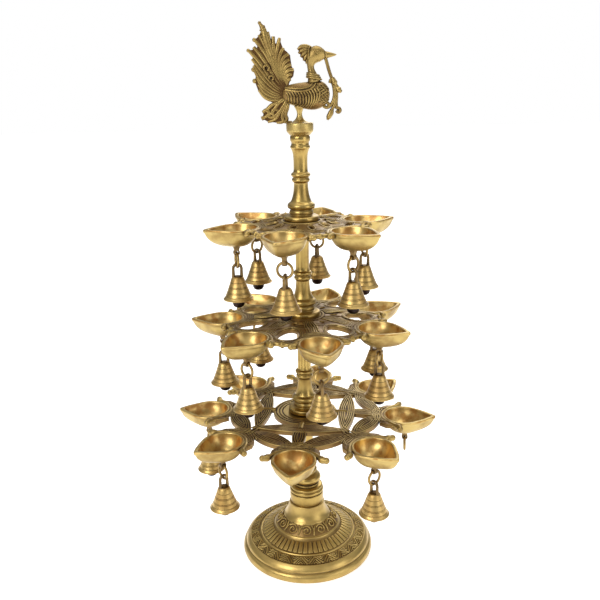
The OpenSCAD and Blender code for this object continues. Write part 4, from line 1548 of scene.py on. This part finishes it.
# Curled knobs at the ends of the longest feathers
knobs = []
for x, z, size in ((-38.2, 97.2, 1.8), (-44.0, 81.4, 2.1), (-50.4, 71.4, 1.9), (-45.8, 53, 2.4),
                   (-45.0, 42, 2.4),
                   (-18.9, 81.6, 1.7)):
    knobs.append(ball((x, 0, z + perch), size, 14, 9))
tail_knobs = joined("tail_knobs", knobs)
loops = []
for side in (-1, 1):
    for x, z, size in ((-32.8, 54.0, 2.9), (-28.2, 44.4, 2.3)):
        loops.append([(x + size * math.cos(a), side * 2.7, z + perch + size * math.sin(a))
                      for a in (math.pi * 1.15, math.pi * 0.75, math.pi * 0.35, 0, -math.pi * 0.35)])
eye_loops = wires("eye_loops", loops, 2.3, sides=2, smoothness=3)
for part in (feathers, top_feather, twist_lines, tail_knobs, eye_loops):
    paint(part, bird_brass)
# The web between the feathers is near-black: patina and painted shade in the deep grooves.
paint(tail_web, hollow_patina_and_shade)
bird_parts += [feathers, tail_web, top_feather, twist_lines, tail_knobs, eye_loops]
print("feathers:", len(feather_lines))

# %% [markdown]
# Below the tail hangs a tuft of curled strands, the crest is a small fan behind the head, and
# the twig is three thin stems with a bud and small leaves.

# %% Tuft, crest and twig
tuft_lines = [
    [(-13, 24), (-19, 22), (-25, 15), (-30, 9), (-39.6, 5.4)],
    [(-13, 23), (-17, 16), (-23, 9), (-29, 5.6), (-35, 8.6)],
    [(-12, 22), (-15, 14), (-18, 7), (-17.4, 1.8), (-24, 0.4)],
    [(-12, 23), (-15, 18), (-20, 11), (-25, 4), (-33, 1.2)],
    [(-14, 24), (-22, 20), (-28, 18), (-33, 14), (-37.6, 11)],
    [(-11, 22), (-12.6, 15), (-14.6, 8), (-13.4, 3), (-17, 1.6)],
    [(-38, 10.6), (-34, 12.8), (-31.4, 10), (-34.6, 6.6), (-39, 3.8)],
    [(-22, 12), (-25.6, 13.8), (-28, 10.4), (-25, 7.6), (-22.6, 9.4)],
]
tuft = wires("tuft", [flat_line(line) for line in tuft_lines], 4.4, sides=2, smoothness=4,
             shares=(0.8, 1, 1, 0.9, 0.6))
tuft_web = web("tuft_web", [(-12, 24), (-24, 19), (-36, 12), (-39, 5), (-33, 1.6), (-24, 0.4),
                            (-17, 2), (-14, 10)], 2.0)
crest_lines = [
    [(13, 73), (8, 74.4), (3, 74.2), (-0.8, 71.4)], [(12, 71), (7.4, 71.8), (3.2, 70.4), (0.0, 67.8)],
    [(12, 69), (8, 69), (4.6, 66.8), (2.2, 64.2)], [(12, 67), (9, 66), (6.6, 63.4), (5.0, 60.6)],
    [(12, 64), (9.8, 62.6), (8.6, 60), (8.0, 57.6)],
]
crest = wires("crest", [flat_line(line) for line in crest_lines], 4.2, sides=2, smoothness=4,
              shares=(0.7, 1, 0.95, 0.5))
crest_web = web("crest_web", [(12, 74.6), (5, 75), (0, 71.6), (0.8, 68.4), (2.8, 64.6), (5.4, 61),
                              (8.2, 58), (11, 61)], 2.6)
twig_lines = [
    [(27.2, 63), (28.4, 59), (30.6, 51), (33.4, 43), (36, 36)],
    [(33.4, 43), (37, 37.6), (40.4, 33), (43.0, 29.8)],
    [(34, 41), (37.4, 33), (38.2, 25), (37.8, 18), (38.6, 13)],
    [(38.4, 14), (41, 13.4), (41.6, 10.6), (39.4, 9.8), (38, 11.6)],
    [(34, 40), (35.8, 32), (35.6, 24), (33, 18), (28.6, 14.6), (24.6, 16)],
    [(36.6, 26), (36.4, 18), (33.8, 13), (31, 8), (29.4, 3.4)],
    [(25, 16.4), (26.4, 19.2), (29.6, 18.6), (30, 15.6)],
    [(31.6, 38.4), (32.6, 41.6), (34.4, 41)],
]
twig = wires("twig", [flat_line(line) for line in twig_lines], 3.5, sides=2, smoothness=4)
twig_leaves = wires("twig_leaves", [flat_line(line) for line in (
    [(33.8, 13.4), (32.4, 9.4), (30, 5), (28.6, 2.2)], [(38, 35), (40.4, 31.8), (43.2, 29.4)],
    [(34.2, 44), (36, 39), (38, 35)])],
    7.0, sides=2, smoothness=4, shares=(0.5, 1.0, 0.3))
strut = wires("strut", [flat_line([(-18, 1.4), (-12, 0.6), (-8, 0.4)])], 3.0, sides=2)
for part in (tuft, crest, twig, twig_leaves, strut):
    paint(part, bird_brass)
# The webs of the tuft and crest are near-black: patina and painted shade between the strands.
for part in (tuft_web, crest_web):
    paint(part, hollow_patina_and_shade)
bird_parts += [tuft, tuft_web, crest, crest_web, twig, twig_leaves, strut]
peacock = joined("peacock_casting", [drum, body, neck, beak, *bird_parts])
bring(peacock, "stand", "peacock_brass", "peacock")
print("peacock", len(peacock.data.polygons), "faces")

# %% [markdown]
# ## Studio
# The lamp stands on a plain pale floor in soft light. Polished metal shows what is round it,
# so the world is bright overhead and darker at the sides, which draws the dark edges that make
# brass look like metal. The camera itself sees plain white.

# %% Floor
clear()
bpy.ops.mesh.primitive_plane_add(size=12, location=(0, 3, cad_box[0][2] - 0.0002))
floor = bpy.context.object
floor.name = "floor"
floor_white = bpy.data.materials.new("floor_white")
floor_white.use_nodes = True
floor_shader = floor_white.node_tree.nodes["Principled BSDF"]
floor_shader.inputs["Base Color"].default_value = (0.93, 0.925, 0.915, 1)
floor_shader.inputs["Roughness"].default_value = 0.9
floor_shader.inputs["Emission Color"].default_value = (1, 1, 1, 1)
floor_shader.inputs["Emission Strength"].default_value = 0.6
paint(floor, floor_white)
print("floor at", round(floor.location.z, 4))

# %% World
world = bpy.data.worlds.new("studio")
bpy.context.scene.world = world
world.use_nodes = True
sky = world.node_tree
sky.nodes.clear()
direction = sky.nodes.new("ShaderNodeTexCoord").outputs["Generated"]
axes = sky.nodes.new("ShaderNodeSeparateXYZ")
sky.links.new(direction, axes.inputs["Vector"])
shade = sky.nodes.new("ShaderNodeValToRGB")
sky.links.new(spread(sky, axes.outputs["Z"], -1.0, 1.0), shade.inputs["Fac"])
STOPS = ((0.0, 0.35), (0.45, 0.1), (0.6, 0.13), (0.78, 0.5), (1.0, 0.7))
shade.color_ramp.elements[0].position = STOPS[0][0]
shade.color_ramp.elements[-1].position = STOPS[-1][0]
for position, level in STOPS[1:-1]:
    shade.color_ramp.elements.new(position)
for element, (position, level) in zip(shade.color_ramp.elements, STOPS):
    element.color = (level, level, level * 0.97, 1)
surroundings = sky.nodes.new("ShaderNodeBackground")
sky.links.new(shade.outputs["Color"], surroundings.inputs["Color"])
backdrop = sky.nodes.new("ShaderNodeBackground")
backdrop.inputs["Color"].default_value = (1, 1, 1, 1)
chosen = sky.nodes.new("ShaderNodeMixShader")
sky.links.new(sky.nodes.new("ShaderNodeLightPath").outputs["Is Camera Ray"], chosen.inputs["Fac"])
sky.links.new(surroundings.outputs["Background"], chosen.inputs[1])
sky.links.new(backdrop.outputs["Background"], chosen.inputs[2])
sky.links.new(chosen.outputs["Shader"], sky.nodes.new("ShaderNodeOutputWorld").inputs["Surface"])
bpy.context.scene.view_settings.view_transform = "Standard"
print("world has", len(sky.nodes), "nodes")

# %% Lights


def soft_light(name, place, target, size, power):
    """A square soft box at place, turned towards target, in metres."""
    data = bpy.data.lights.new(name, "AREA")
    data.size = size
    data.energy = power
    light = bpy.data.objects.new(name, data)
    bpy.context.scene.collection.objects.link(light)
    light.location = place
    light.rotation_euler = (Vector(target) - Vector(place)).to_track_quat("-Z", "Y").to_euler()
    return light


MIDDLE_HEIGHT = (0, 0, 0.3)
soft_light("key_light", (-1.1, -1.4, 1.2), MIDDLE_HEIGHT, 1.1, 17)
soft_light("fill_light", (1.5, -1.1, 0.7), MIDDLE_HEIGHT, 1.1, 7)
soft_light("top_light", (0.1, 0.2, 1.8), MIDDLE_HEIGHT, 1.2, 11)
soft_light("back_light", (0.5, 1.6, 1.0), MIDDLE_HEIGHT, 1.0, 7)
print("lights: 4")
